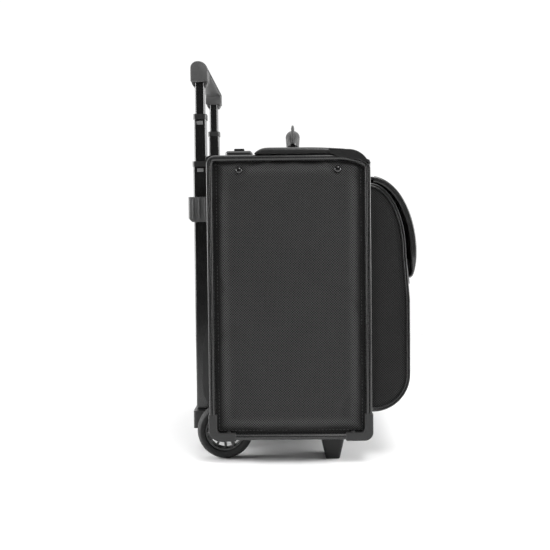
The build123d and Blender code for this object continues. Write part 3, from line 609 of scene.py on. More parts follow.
def band_section():
    """The trim's section as (inset, height) pairs: two beads and a sewn edge, and one wide roll."""
    height = FACE_X - SKIN_X
    bead = 1.55
    beads = np.concatenate([
        [(0.25, -1.4), (0.25, height - bead)],
        arc((1.8, height - bead), bead, 180, 25, 9),
        [(3.6, height - 2.3)],
        arc((5.4, height - bead), bead, 155, 25, 9),
        [(7.2, height - 3.0), (7.9, height - 3.6), (8.1, 1.2)],
    ])
    count = len(beads)
    roll = np.concatenate([
        [(0.25, -1.4)],
        arc((4.1, height - 3.9), 3.85, 180, 8, count - 3),
        [(8.1, 1.2)],
    ])
    return beads, roll[:count]


def side_trim(side, s):
    """The vinyl band sewn round one side of the case."""
    points, normals = side_outline()
    beads, roll = band_section()
    share = roll_share(points)[:, None, None]
    section = beads[None] * (1 - share) + roll[None] * share
    flat = points[:, None] - normals[:, None] * section[..., :1]
    x = SKIN_X + section[..., 1]
    loops = np.stack([s * x, flat[..., 0], flat[..., 1]], 2)
    band = loft(f"side_trim_band_{side}", loops, closed=True, sharp=60)
    dress(band, TRIM, "case", [f"side_trim_{side}"])


def pad_distance(y, z, inset):
    """How far a point of the side lies inside the border of its pad."""
    over = np.where(
        y < DROOP_Y,
        DROOP_RADIUS - np.hypot(y - DROOP_Y, z - DROOP_Z),
        TOP - z,
    )
    over = np.where((y < DROOP_Y) & (z < DROOP_Z), 1e3, over)
    return np.minimum.reduce([y - FRONT, REAR - y, z - BOTTOM, over + 4.5]) - inset


def side_pad(side, s):
    """The padded nylon panel of one side, sewn down inside the trim."""
    inset, rows, cols = 6.5, 84, 52
    ys = np.linspace(FRONT + inset, REAR - inset, cols)
    shares = np.linspace(0, 1, rows)
    arched = np.sqrt(np.maximum(DROOP_RADIUS**2 - (ys - DROOP_Y) ** 2, 0))
    droop = np.where(ys < DROOP_Y, TOP - DROOP_Z - arched, 0)
    tops = TOP - inset - droop
    y = np.repeat(ys[None], rows, 0)
    z = BOTTOM + inset + shares[:, None] * (tops - BOTTOM - inset)[None]
    depth = pad_distance(y, z, inset)
    gather = np.exp(-(np.hypot(y - REAR, z - TOP) / 26) ** 2)
    wobble = 0.7 * np.sin(z / 5.3 + 0.6 * np.sin(y / 9)) + 0.9 * np.sin(y / 6.1 + np.sin(z / 14))
    rise = smooth((depth - 6.5 + 0.5 * wobble) / 9.0)
    crown = 1 - np.exp(-np.maximum(depth - 7.0, 0) / 13)
    ruck = np.sin((y - z) / 2.6) * gather * rise
    near = np.minimum.reduce([np.hypot(y - rivet_y, z - RIVET_Z) for rivet_y in RIVETS])
    pinned = 1 - 0.6 * np.exp(-((near / 8.0) ** 2))
    swell = 1.3 * rise + 2.8 * crown + 0.28 * ripple(y, z, 1.0 + s) * rise
    height = 0.9 + swell * pinned + 0.5 * ruck
    front = np.stack([s * (SKIN_X + height), y, z], 2)
    back = np.stack([np.full_like(y, s * (SKIN_X - 1.4)), y, z], 2)
    # Painted shade darkens the cloth's colour in the gutter next to the trim. The band about 16 mm inside
    # the pad's border is a painted highlight, lightened where the swollen edge would catch the light.
    gutter = 1 - smooth((depth - 6.5 + 0.4 * wobble) / 4.5)
    wear_and_highlight = np.exp(-(((depth - 16.0) / 4.5) ** 2))
    pad = slab(f"side_pad_{side}", front, back, np.stack([y, z], 2), shade=gutter - 0.8 * wear_and_highlight)
    count = rows * cols
    held = np.nonzero(((depth < 4.5) | (near < 6)).ravel())[0]
    sewn = [*held.tolist(), *range(count, 2 * count)]
    settle(pad, sewn, pressure=1.2, cap=1.0)
    dress(pad, CLOTH, "case", [f"side_cover_{side}"])


def side_stitches(side, s):
    """The row of stitches in the gutter between trim and pad."""
    points, normals = side_outline(step=1.0)
    inset, each = 12.3, 9
    points, normals = points[::each], normals[::each]
    at = at_x(s * (SKIN_X + 1.25), points - normals * inset)
    ahead = at_x(0, normals[:, ::-1] * (-1, 1))
    out = np.tile([float(s), 0, 0], (len(points), 1))
    row = stitches(f"side_stitches_{side}", at, ahead, out)
    dress(row, THREAD, "case")


def rivets(side_name, s):
    """Two domed rivets near the top of one side."""
    profile = [(4.4, 1.0), (4.5, 3.8), (4.3, 4.9), (3.6, 5.9), (2.4, 6.6), (1.0, 6.95), (0.2, 7.0)]
    for place, y in zip(("front", "rear"), RIVETS):
        loops = [at_x(s * (SKIN_X + h - 0.7), arc((y, RIVET_Z), r, 0, 350, 35)) for r, h in profile]
        dome = loft(f"rivet_{place}_{side_name}", loops, sharp=60)
        dress(dome, RIVET, "case", ["side_rivets"])


for side_name, sign in SIDES:
    side_trim(side_name, sign)
    side_pad(side_name, sign)
    side_stitches(side_name, sign)
    rivets(side_name, sign)


# ------------------------------------------------------------ corner guards
def guard(name, s, y_edge, outward, corner):
    """One moulded corner guard: an L with a rounded corner, a clip and a flange under the case."""
    proud = GUARD_HIGH[0] - FACE_X
    leg, width, radius = 33.0, 10.5, corner + proud
    y_out, z_out = y_edge + outward * proud, BOTTOM - proud
    y_in, z_in = y_out - outward * width, z_out + width
    y_end, z_end = y_edge - outward * leg, BOTTOM + leg
    centre = (y_out - outward * radius, z_out + radius)
    side_turn = 0 if outward > 0 else -180
    outer = arc(centre, radius, -90, side_turn, 10)
    inner = arc((y_in - outward * 5, z_in + 5), 5, side_turn, -90, 6)
    shell = np.concatenate([
        [(y_end, z_out)], outer, [(y_out, z_end), (y_in, z_end)], inner, [(y_end, z_in)],
    ])
    middle = y_edge - outward * (leg - 9)
    clip = [(middle - 3, z_in - 1), (middle + 3, z_in - 1)]
    clip += [(middle + 2, z_in + 1.6), (middle - 2, z_in + 1.6)]
    sole = rectangle(y_end, y_edge - outward * (corner + 2), z_out, BOTTOM)
    for part in (
        prism(name, shell, s * (SKIN_X + 0.2), s * GUARD_HIGH[0], round_by=1.3),
        prism(name + "_clip", clip, s * (SKIN_X + 1), s * (FACE_X - 1), round_by=0.6),
        prism(name + "_sole", sole, s * (SKIN_X - 4.5), s * SKIN_X, round_by=0.3),
    ):
        dress(part, GUARD, "case", ["corner_guards"])


for side_name, sign in SIDES:
    guard(f"rear_guard_{side_name}", sign, REAR, 1, FOOT_CORNER)
    guard(f"front_guard_{side_name}", sign, FRONT, -1, FRONT_FOOT)


# ------------------------------------------------------------ front, rear and deck covers
def panel(name, low, high, outward, thick, bulge, quilt=None):
    """A crowned sheet over the front or rear of a box; quilt is the distance between its sewn lines."""
    xs = np.linspace(low[0], high[0], 70)
    zs = np.linspace(low[2], high[2], 56)
    x, z = np.meshgrid(xs, zs)
    near = low[1] if outward < 0 else high[1]
    edge = np.minimum.reduce([x - low[0], high[0] - x, z - low[2], high[2] - z])
    swell = bulge * smooth(edge / 12) + 0.15 * ripple(x, z, 2.0) * smooth(edge / 15)
    if quilt:
        lines = np.abs(np.sin(np.pi * x / quilt)) * np.abs(np.sin(np.pi * z / quilt))
        swell = swell + bulge * np.sqrt(lines) * smooth(edge / 6)
    front = np.stack([x, near + outward * swell, z], 2)
    back = np.stack([x, np.full_like(x, near - outward * thick), z], 2)
    # Painted shade: the colour is darkened within about 5 mm of the sheet's edges, where it meets the parts
    # round it.
    return slab(name, front, back, np.stack([x, z], 2), shade=0.6 * smooth(1 - edge / 5))


def front_cover():
    """The cloth over the front board, behind the pocket."""
    low, high = box_mm("front_cover")
    cloth = panel("front_cloth", low, high, -1, thick=2.0, bulge=0.1)
    dress(cloth, CLOTH, "case", ["front_cover"])


def rear_cover():
    """The cloth over the rear board, which folds forward over the deck, with a gap round each wheel."""
    low, high = box_mm("rear_cover")
    fold = arc((REAR - REAR_FOLD, TOP - REAR_FOLD), REAR_FOLD, 90, 0, 6)
    upper = resample(np.concatenate([[(low[1], TOP)], fold, [(REAR, WELL_TOP)]]), 4.0)
    lower = resample([(REAR, WELL_TOP), (REAR, low[2])], 4.0)[1:]
    line = np.concatenate([upper, lower])
    out = left_normals(line)
    along = travel(line)
    stops = [low[0], -WELL_OUTER, -WELL_INNER, WELL_INNER, WELL_OUTER, high[0]]
    runs = [np.linspace(a, b, 3 + int((b - a) / 6), endpoint=False) for a, b in zip(stops, stops[1:])]
    x, run = np.meshgrid(np.concatenate(runs + [[high[0]]]), along)
    edge = np.minimum.reduce([x - low[0], high[0] - x, run, along[-1] - run])
    swell = 0.1 * smooth(edge / 12) + 0.12 * ripple(x, run, 5.0) * smooth(edge / 15)
    flat = line[:, None] + out[:, None] * swell[..., None]
    deep = np.repeat((line - out * 1.6)[:, None], x.shape[1], 1)
    front = np.concatenate([x[..., None], flat], 2)
    back = np.concatenate([x[..., None], deep], 2)
    middle_x = np.abs(x[:-1, :-1] + x[:-1, 1:]) / 2
    in_well = (middle_x > WELL_INNER) & (middle_x < WELL_OUTER)
    below = (line[:-1, 1] + line[1:, 1])[:, None] / 2 < WELL_TOP
    # Painted shade: the colour is darkened within about 5 mm of the cloth's edges, where it meets the parts
    # round it.
    shade = 0.6 * smooth(1 - edge / 5)
    cloth = slab("rear_cloth", front, back, np.stack([x, run], 2), shade=shade, keep=~(in_well & below))
    dress(cloth, CLOTH, "case", ["rear_cover"])


def laptop_sleeve():
    """The open-topped sleeve inside the case: two quilted panels and a strip round three sides."""
    low, high = box_mm("laptop_sleeve")
    front_wall, rear_wall, side_wall, floor_wall = 4.5, 4.0, 6.0, 8.0
    for name, outward, thick in (("front", -1, front_wall), ("rear", 1, rear_wall)):
        quilted = panel(f"sleeve_{name}", low, high, outward, thick, bulge=0.25, quilt=50.0)
        dress(quilted, LINING, "case", ["laptop_sleeve"])
    x0, x1 = low[0], high[0]
    z0, z1 = low[2], high[2]
    outside = [(x0, z1), (x0, z0), (x1, z0), (x1, z1)]
    inside = [(x1 - side_wall, z1), (x1 - side_wall, z0 + floor_wall)]
    inside += [(x0 + side_wall, z0 + floor_wall), (x0 + side_wall, z1)]
    strip = prism("sleeve_strip", outside + inside, low[1] + front_wall, high[1] - rear_wall, axis="Y")
    dress(strip, LINING, "case", ["laptop_sleeve"])


front_cover()
rear_cover()
laptop_sleeve()
recolour(LINING, "divider", "side_board_left", "side_board_right", "front_board", "rear_board")
recolour(LINING, "bottom_pan", "top_deck", "lid_board")


# ------------------------------------------------------------ lid
def lid_paths(step=3.0):
    """The lid's outer and under sides, from rear to front, as flat paths with as many points."""
    rear, crown = LID_HIGH[1], LID_HIGH[2]
    under_radius = DROOP_RADIUS + (LID_UNDER - TOP)
    droop_end = math.degrees(math.acos(-DROOP_RUN / under_radius))
    outer = np.concatenate([
        [(rear + 2.0, LID_UNDER + 1.0), (rear + 1.4, LID_UNDER + 2.2), (rear - 2, LID_UNDER + 4.6)],
        [(rear - 6, crown - 1.4), (rear - 9.5, crown - 0.4), (rear - 15, crown)],
        [(FRONT + 73, crown - 0.3), (FRONT + 59, crown - 0.8), (FRONT + 34, crown - 2.3)],
        arc((FRONT + 27.5, crown - 30.5), 27.6, 86, 150, 12),
        [(FRONT + 1.6, LID_UNDER - 7.0), (FRONT + 0.5, LID_UNDER - 11.5)],
    ])
    under = np.concatenate([
        [(rear + 2.0, LID_UNDER + 0.5), (rear - 1, LID_UNDER)],
        arc((DROOP_Y, DROOP_Z), under_radius, 90, droop_end, 14),
    ])
    outer, under = resample(outer, 0.8), resample(under, 0.8)
    count = int(np.ceil(travel(outer)[-1] / step))
    paths = []
    for fine in (outer, under):
        picked = np.linspace(0, len(fine) - 1, count)
        paths.append(np.stack([np.interp(picked, np.arange(len(fine)), fine[:, i]) for i in (0, 1)], 1))
    return paths


def lid():
    """The padded lid: a crowned cover that rolls over at its ends and droops at the front."""
    outer, under = lid_paths()
    half = LID_HIGH[0]
    ends = np.array([0.0, 0.25, 0.8, 1.8, 3.2, 5.0, 8.0, 13.0, 20.0])
    inner = np.linspace(-half + 28, half - 28, 60)
    xs = np.concatenate([-half + ends, inner, half - ends[::-1]])
    edge = half - np.abs(xs)
    roll = np.sqrt(np.clip(1 - (1 - np.clip(edge / 3.2, 0, 1)) ** 2, 0, 1))
    share = 0.35 + 0.65 * roll
    along = travel(outer)
    inland = smooth(along / 12) * smooth((along[-1] - along) / 12)
    front = np.empty((len(xs), len(outer), 3))
    for i, x in enumerate(xs):
        dip = 0.5 * np.exp(-((edge[i] - 9) / 3.0) ** 2) * inland
        swell = 0.25 * ripple(np.full(len(outer), x), along, 4.0) * smooth(edge[i] / 12)
        line = under + (outer - under) * share[i]
        line[:, 1] += swell - dip
        front[i] = at_x(x, line)
    on_board = smooth((under[:, 0] - DROOP_Y + 6) / 5) * smooth((BOARD_HIGH[1] + 3 - under[:, 0]) / 5)
    back_z = under[:, 1] + 1.2 * smooth((edge[:, None] - 4) / 3) * on_board
    back_y = np.repeat(under[None, :, 0], len(xs), 0)
    back = np.stack([np.repeat(xs[:, None], len(under), 1), back_y, back_z], 2)
    uv = np.stack(np.meshgrid(xs, along, indexing="ij"), 2)
    cover = slab("lid_cloth", front, back, uv, sharp=60)
    dress(cover, TOP_VINYL, "lid", ["lid_cover"])
    lid_stitches(outer[4:-3], half - 9.0)


def lid_stitches(line, inset_x):
    """A row of stitches along each end of the lid."""
    path = resample(line, 4.6)
    normal = -left_normals(path)
    normal *= np.sign(normal[:, 1:2] + 1e-9)
    flow = at_x(0, np.gradient(path, axis=0))
    for side_name, s in SIDES:
        at = at_x(s * inset_x, path - (0, 0.35))
        row = stitches(f"lid_stitches_{side_name}", at, flow, at_x(0, normal))
        dress(row, THREAD, "lid")


def lid_lips():
    """The lid's side lips, which hang over the drooping front corners of the case."""
    outer, _ = lid_paths()
    half = LID_HIGH[0]
    front = outer[outer[:, 0] < -36.0]
    inward = np.stack([np.linspace(0, 0.7, len(front)), np.full(len(front), -0.6)], 1)
    foot = [(FRONT + 1.6, LID_UNDER - 12.5), (FRONT + 8, LID_UNDER - 9.2), (FRONT + 26, LID_UNDER - 7.4)]
    foot += [(FRONT + 40, LID_UNDER - 4.0), (FRONT + 50, LID_UNDER + 0.6)]
    outline = np.concatenate([front + inward, foot])
    for side_name, s in SIDES:
        lip = prism(f"lid_lip_{side_name}", outline, s * (half + 0.05), s * (half + 1.1), round_by=0.45)
        dress(lip, TOP_VINYL, "lid", ["lid_cover"])


lid()
lid_lips()
recolour(STEEL, "hasps")
recolour(LOCK, "handle_anchors")


# ------------------------------------------------------------ carry handle
def handle_path(low, crown, half, reach):
    """The handle's centre line in X and Z: a level bar, with a quarter of an ellipse down to each foot."""
    left = arc((reach - half, low), (reach, crown - low), 180, 90, 23)
    return resample(np.concatenate([left, left[::-1] * (-1, 1)]), 2.5)


def carry_handle():
    """Two leather halves sewn together along a flange that runs round the outside."""
    anchor_low, anchor_high = box_mm("handle_anchors")
    y_mid = (anchor_low[1] + anchor_high[1]) / 2
    half = anchor_high[0] - 15.0
    path = handle_path(HANDLE_LOW[2] + 10.0, HANDLE_HIGH[2] - 23.2, half, reach=26.0)
    along = travel(path)
    ends = np.minimum(along, along[-1] - along)
    width = 6.4 + 3.4 * smooth((ends - 3) / 24)
    upper, lower, seam_out, seam_width = 9.3, 6.8, 13.2, 1.9
    turns = np.radians(np.linspace(-258, 78, 30))
    rise = np.where(np.sin(turns) > 0, upper, lower) * np.sin(turns)
    flange = np.array([(seam_width, upper), (seam_width, 12.5), (1.7, 15.6), (1.0, 16.9)])
    flange = np.concatenate([flange, flange[::-1] * (-1, 1)])
    loops = []
    for point, normal, reach, wide in zip(path, left_normals(path), along, width):
        pull = 0.1 * math.sin(reach / 2.4)
        ring = np.concatenate([np.stack([wide * np.cos(turns), rise], 1), flange + (0, pull)])
        out = point + normal * ring[:, 1:]
        loops.append(np.stack([out[:, 0], y_mid + ring[:, 0], out[:, 1]], 1))
    grip = loft("carry_handle_leather", loops, sharp=60)
    dress(grip, HIDE, "carry_handle", ["handle_grip"])
    eye_radius = 4.2
    pivot = HANDLE_LOW[2] + eye_radius
    top = [(y_mid + eye_radius, pivot + 9), (y_mid - eye_radius, pivot + 9)]
    outline = np.concatenate([arc((y_mid, pivot), eye_radius, 180, 360, 12), top])
    for side_name, s in SIDES:
        eye = prism(f"handle_eye_{side_name}", outline, s * half - 5.5, s * half + 5.5, round_by=0.8)
        dress(eye, HIDE, "carry_handle", ["handle_grip"])
    sewn = resample(path, 4.2)
    flow = at_y(0, np.gradient(sewn, axis=0))
    seam = sewn + left_normals(sewn) * seam_out
    for name, face in (("front", -1), ("rear", 1)):
        up = np.tile([0.0, float(face), 0.0], (len(sewn), 1))
        row = stitches(f"handle_stitches_{name}", at_y(y_mid + face * (seam_width + 0.05), seam), flow, up)
        dress(row, THREAD, "carry_handle")


carry_handle()


# ------------------------------------------------------------ pocket and flap
def out_of(path):
    """Unit normals of a pocket or flap path that point away from the case."""
    normals = left_normals(path)
    toward = path - np.array([FRONT, POCKET_MIDDLE_Z])
    return normals * np.sign(np.sum(normals * toward, axis=1))[:, None]


def pocket_path(step=3.0):
    """The pocket's outer line from its root at the top, down the front and back under to the case."""
    root, foot, face = POCKET_HIGH[2], POCKET_LOW[2], POCKET_LOW[1]
    radius, slope_z = 48.0, 204.0
    top = arc((FRONT, SHOULDER_Z), (FRONT - SHOULDER_Y, root - SHOULDER_Z), 90, 180, 23)
    lower = arc((face + radius, foot + radius), radius, 180, 262, 16)
    return resample(np.concatenate([top, [(face, slope_z)], lower, [(FRONT - 0.3, foot)]]), step)


def pocket_front(path):
    """The pocket's padded front, open at its mouth, with small pleats at the mouth and the foot."""
    half, mouth, thick = POCKET_HIGH[0], 305.0, 2.2
    below_mouth = path[:, 1] < mouth
    line, out, run = path[below_mouth], out_of(path)[below_mouth], travel(path)[below_mouth]
    xs = np.concatenate([[-half + 2.2], np.linspace(-half + 4, half - 4, 64), [half - 2.2]])
    front = np.empty((len(xs), len(line), 3))
    back = np.empty_like(front)
    for i, x in enumerate(xs):
        edge = half - abs(x)
        puff = 1.4 * smooth(edge / 40) + 0.35 * ripple(np.full(len(line), x), run, 6.0) * smooth(edge / 20)
        pleats = 0.4 * math.sin(x / 7.0) * np.exp(-(run[-1] - run) / 16)
        pleats += 0.3 * math.sin(x / 9.0) * np.exp(-(run - run[0]) / 10)
        lift = np.minimum(puff + pleats, 1.8) - 0.6
        front[i] = at_x(x, line + out * lift[:, None])
        back[i] = at_x(x, line - out * thick)
    sheet = slab("pocket_front", front, back, np.stack(np.meshgrid(xs, run, indexing="ij"), 2))
    dress(sheet, POCKET_CLOTH, "case", ["pocket_shell"])


def pocket_gusset(path, side, s):
    """The pocket's side wall."""
    half = POCKET_HIGH[0]
    shares = np.linspace(0, 1, 22)
    rim_y = path[1:-1, :1]
    y = rim_y + (FRONT - 0.4 - rim_y) * shares[None]
    z = np.repeat(path[1:-1, 1:], len(shares), 1)
    depth = np.minimum(np.abs(y - rim_y), FRONT - y + 4)
    swell = 1.1 * smooth(depth / 16) + 0.3 * ripple(y, z, 3.0 + s) * smooth(depth / 10)
    face = np.stack([s * (half - 1.8 + swell), y, z], 2)
    back = np.stack([np.full_like(y, s * (half - 3.2)), y, z], 2)
    # Painted shade: the colour is darkened within about 7 mm of the gusset's edges, along its seams.
    shade = 0.7 * smooth(1 - depth / 7)
    gusset = slab(f"pocket_gusset_{side}", face, back, np.stack([y, z], 2), shade=shade)
    dress(gusset, POCKET_CLOTH, "case", ["pocket_sides"])


def pocket_piping(path, side, s):
    """The vinyl bead and its sewn edge along one side of the pocket."""
    section = np.concatenate([
        [(5.6, -2.6), (5.4, -0.8)],
        arc((4.1, -0.4), 1.25, 10, 170, 7),
        [(2.75, -0.6)],
        arc((1.3, -0.4), 1.35, 20, 200, 8),
        [(0.0, -2.6)],
    ])
    out = out_of(path)
    loops = np.empty((len(path), len(section), 3))
    for k, (inset, proud) in enumerate(section):
        loops[:, k] = at_x(s * (POCKET_HIGH[0] + proud), path - out * inset)
    piping = loft(f"pocket_piping_{side}", loops, sharp=70)
    dress(piping, TRIM, "case")


def pocket():
    """The pocket: a padded front, two side gussets and a bead along each seam."""
    path = pocket_path()
    pocket_front(path)
    for side, s in SIDES:
        pocket_gusset(path, side, s)
        pocket_piping(path, side, s)


def flap_path(step=2.5):
    """The flap's outer line, from its root at the case to its tip."""
    root_y, root_z, front_y = FRONT - 0.4, FLAP_HIGH[2], FLAP_LOW[1]
    curve = arc((root_y, SHOULDER_Z), (root_y - front_y, root_z - SHOULDER_Z), 91, 180, 27)
    bend = np.array([(front_y, SHOULDER_Z), (front_y + 0.2, 243.0), (front_y + 2.6, FLAP_LOW[2])])
    shares = np.linspace(0, 1, 14)[1:, None]
    tip = (1 - shares) ** 2 * bend[0] + 2 * shares * (1 - shares) * bend[1] + shares**2 * bend[2]
    return resample(np.concatenate([curve, tip]), step)


def flap():
    """The pocket's flap: a stiff curved sheet with rounded lower corners and a bound edge."""
    path = flap_path()
    out = out_of(path)
    along = travel(path)
    total = along[-1]
    half, radius = FLAP_HIGH[0], 30.0
    drop = np.clip(along - (total - radius), 0, radius)
    widths = half - (radius - np.sqrt(np.maximum(radius**2 - drop**2, 0)))
    thick = 3.4 - 1.2 * smooth((along - total + 40) / 40)
    shares = np.linspace(-1, 1, 90)
    shares = np.sign(shares) * np.abs(shares) ** 0.9
    xs = shares[:, None] * widths[None]
    run = np.repeat(along[None], len(shares), 0)
    edge = np.minimum(widths[None] - np.abs(xs), total - run + 2)
    hem = 0.9 * smooth(edge / 1.2) * (1 - smooth((edge - 6.0) / 1.0))
    swell = 0.3 * ripple(xs, run, 8.0) * smooth((edge - 8) / 15)
    lift = np.minimum(-0.9 + hem + swell, 0.1)
    front = np.concatenate([xs[..., None], path + out * lift[..., None]], 2)
    deep = np.repeat((path - out * (thick + 0.9)[:, None])[None], len(shares), 0)
    back = np.concatenate([xs[..., None], deep], 2)
    cover = slab("flap_cloth", front, back, np.stack([xs, run], 2))
    dress(cover, POCKET_CLOTH, "flap", ["pocket_flap"])
    flap_binding(path, out, widths, thick)


def flap_binding(path, out, widths, thick):
    """The vinyl bound round the flap's free edges, from a little way off the root, clear of the case."""
    start = 2
    path, out, widths, thick = path[start:], out[start:], widths[start:], thick[start:]
    sides = [np.stack([s * widths, path[:, 0], path[:, 1]], 1) for s in (-1, 1)]
    lower_xs = np.linspace(-widths[-1], widths[-1], 70)[1:-1]
    lower = np.stack([lower_xs, np.full(len(lower_xs), path[-1, 0]), np.full(len(lower_xs), path[-1, 1])], 1)
    rim = np.concatenate([sides[0], lower, sides[1][::-1]])
    inward = np.concatenate([out, np.repeat(out[-1:], len(lower), 0), out[::-1]])
    depth = np.concatenate([thick, np.full(len(lower), thick[-1]), thick[::-1]])
    normal = at_x(0, inward)
    ahead = np.gradient(rim, axis=0)
    ahead /= np.linalg.norm(ahead, axis=1)[:, None]
    across = np.cross(ahead, normal)
    across /= np.linalg.norm(across, axis=1)[:, None]
    grow = np.interp(depth, [2.2, 3.4], [0.0, 1.5])
    centre = rim - normal * (depth / 2 + 0.5 + grow * 0.6)[:, None]
    loops = np.empty((len(rim), 14, 3))
    for k, turn in enumerate(np.linspace(0, 2 * math.pi, 15)[:-1]):
        level = math.cos(turn)
        reach = (depth / 2 + 0.7 + grow) * math.sin(turn) * (1 - 0.28 * level**8)
        wide = 1.9 * level * (0.8 if abs(level) > 0.95 else 1.0)
        loops[:, k] = centre + normal * reach[:, None] + across * wide
    bound = loft("flap_binding", loops, sharp=70)
    dress(bound, TRIM, "flap", ["pocket_flap"])


pocket()
flap()
recolour(BRIGHT, "clasp_plate", "clasp_tongue")


# ------------------------------------------------------------ wheels, feet, housings
def wheel(side_name, s):
    """A tyre with fine ribs across its shoulders."""
    centre_y = (TYRE_LOW[1] + TYRE_HIGH[1]) / 2
    centre_z = (TYRE_LOW[2] + TYRE_HIGH[2]) / 2
    x_mid = s * (TYRE_LOW[0] + TYRE_HIGH[0]) / 2
    radius, half = (TYRE_HIGH[2] - TYRE_LOW[2]) / 2, (TYRE_HIGH[0] - TYRE_LOW[0]) / 2
    bore, rows, turns = 25.0, [], 288
    profile = [(half * 0.72, bore), (half * 0.92, bore + 0.8), (half, bore + 3.0)]
    profile += list(arc((0, radius - 5.2), (half, 5.2), 0, 180, 16))
    profile += [(-half, bore + 3.0), (-half * 0.92, bore + 0.8), (-half * 0.72, bore)]
    for k in range(turns):
        turn = 2 * math.pi * k / turns
        groove = 0.5 if k % 4 in (0, 1) else 0.0
        loop = []
        for x, r in profile:
            shoulder = smooth((abs(x) / half - 0.35) / 0.2) * smooth((r - (radius - 5.5)) / 1.5)
            r = r - groove * float(shoulder)
            loop.append((x_mid + x, centre_y + r * math.cos(turn), centre_z + r * math.sin(turn)))
        rows.append(loop)
    tyre = loft(f"tyre_ribbed_{side_name}", rows, closed=True, sharp=32)
    dress(tyre, TYRE, f"wheel_{side_name}", [f"tyre_{side_name}"])


def foot(side_name):
    """A tapered foot with a cap line and a flat tread."""
    low, high = box_mm(f"foot_{side_name}")
    centre = (low + high) / 2
    half = (high - low) / 2
    tread = [(0.0, 0.72, 0.57), (0.8, 0.75, 0.6)]
    shank = [(22.0, 0.925, 0.885), (25.4, 0.95, 0.91)]
    cap_line = [(25.5, 0.92, 0.88), (26.2, 0.92, 0.88), (26.3, 0.985, 0.97)]
    cap = [(27.0, 1.0, 1.0), (high[2] - low[2], 1.0, 1.0)]
    turns = np.linspace(0, 2 * np.pi, 49)[:-1]
    squared = np.stack([np.sign(c) * np.abs(c) ** 0.3 for c in (np.cos(turns), np.sin(turns))], 1)
    loops = []
    for height, wide, deep in tread + shank + cap_line + cap:
        flat = centre[:2] + half[:2] * (wide, deep) * squared
        loops.append(np.stack([flat[:, 0], flat[:, 1], np.full(len(flat), low[2] + height)], 1))
    piece = loft(f"foot_block_{side_name}", loops, sharp=50)
    dress(piece, FOOT, "case", [f"foot_{side_name}"])


for side_name, sign in SIDES:
    wheel(side_name, sign)
    foot(side_name)
recolour(RIM, "hub_left", "hub_right")
recolour(STEEL, "bearings_left", "bearings_right", "axle_bolts", "bracket_screws")
recolour(BLACK, "wheel_housing_left", "wheel_housing_right")


# ------------------------------------------------------------ trolley
def trolley_grip():
    """The moulded grip: a domed bar with a leg over each tube."""
    y0, y1, top = GRIP_LOW[1], GRIP_HIGH[1], GRIP_HIGH[2]
    half, leg, bar = GRIP_HIGH[0], 27.0, 503.0
    dome = np.concatenate([
        arc((y1 - 9.5, top - 9.5), 9.5, 0, 90, 10),
        arc((y0 + 13, top - 13), 13, 90, 180, 12),
    ])
    waist = LEG_FOOT + 16
    stations = np.array([0.0, 0.3, 1.0, 2.2, 5, 12, 20, 24, 26, 27, 27.2, 27.6, 28.2, 29.0, 30.2, 33])
    xs = np.concatenate([stations - half, np.linspace(-half + 44, half - 44, 20), half - stations[::-1]])
    loops = []
    for x in xs:
        depth = half - abs(x)
        pinch = 1.4 * (1 - math.sqrt(max(0.0, 1 - (1 - min(depth / 2.2, 1)) ** 2)))
        t = min(max((depth - leg) / 3.2, 0.0), 1.0)
        under = LEG_FOOT + (bar - LEG_FOOT) * math.sqrt(1 - (1 - t) ** 2)
        lower = [(y0 + 0.6, under + 0.6), (y0 + 1.6, under), (y1 - 1.6, under), (y1 - 0.6, under + 0.6)]
        front, rear = [(y0, waist), (y0, under + 1.6)], [(y1, under + 1.6), (y1, waist)]
        ring = np.concatenate([dome, front, lower, rear])
        middle = np.array([(y0 + y1) / 2, (under + top) / 2])
        size = (ring.max(0) - ring.min(0)) / 2
        loops.append(at_x(x, middle + (ring - middle) * (1 - pinch / size)))
    grip = loft("trolley_grip_moulding", loops, sharp=45)
    dress(grip, GRIP, "trolley_inner", ["trolley_grip"])


def grip_lips():
    """The lip that closes the front and the rear of each of the grip's legs against its tube."""
    low, high = box_mm("inner_tubes")
    y_tube, half_tube = (low[1] + high[1]) / 2, (high[1] - low[1]) / 2
    for side_name, s in SIDES:
        x_tube = s * (high[0] - 9.9)
        for name, way, edge in (("front", -1, GRIP_LOW[1]), ("rear", 1, GRIP_HIGH[1])):
            wall, rim = y_tube + way * half_tube, edge - way * 1.4
            lip = [(rim, LEG_FOOT + 0.3), (wall, LEG_FOOT + 0.3), (wall, LEG_FOOT - 5.0)]
            lip += [(wall + way * 1.6, LEG_FOOT - 5.2), (rim - way * 0.4, LEG_FOOT - 2.4)]
            tab = prism(f"grip_lip_{name}_{side_name}", lip, x_tube - 9, x_tube + 9, round_by=0.4)
            dress(tab, GRIP, "trolley_inner", ["trolley_grip"])


def tube_catches():
    """The spring catch that shows on the outside of each tube, just under its collar."""
    for level, tube, body in (("upper", "mid_tubes", "trolley_mid"), ("lower", "outer_tubes", "case")):
        low, high = box_mm(tube)
        middle, collar = (low[1] + high[1]) / 2, high[2] + 3
        outline = rectangle(middle - 4.1, middle + 4.1, collar - 14.3, collar - 9.5)
        for side_name, s in SIDES:
            face = s * high[0]
            name = f"{level}_catch_{side_name}"
            snap = prism(name, outline, face - s * 0.3, face + s * 0.62, round_by=0.3)
            dress(snap, CATCH, body)


def bracket_ribs():
    """Raised ribs on the outer ends of the upper bracket's two blocks."""
    low, high = box_mm("upper_bracket")
    for side_name, s in SIDES:
        x = s * high[0]
        for k in range(3):
            y = high[1] - 6.5 - k * 8.0
            outline = rectangle(y - 1.1, y + 1.1, low[2] + 4.0, high[2] - 2.5)
            name = f"bracket_side_rib_{side_name}_{k}"
            rib = prism(name, outline, x - s * 0.4, x + s * 0.7, round_by=0.3, segments=2)
            dress(rib, BRACKET, "case")


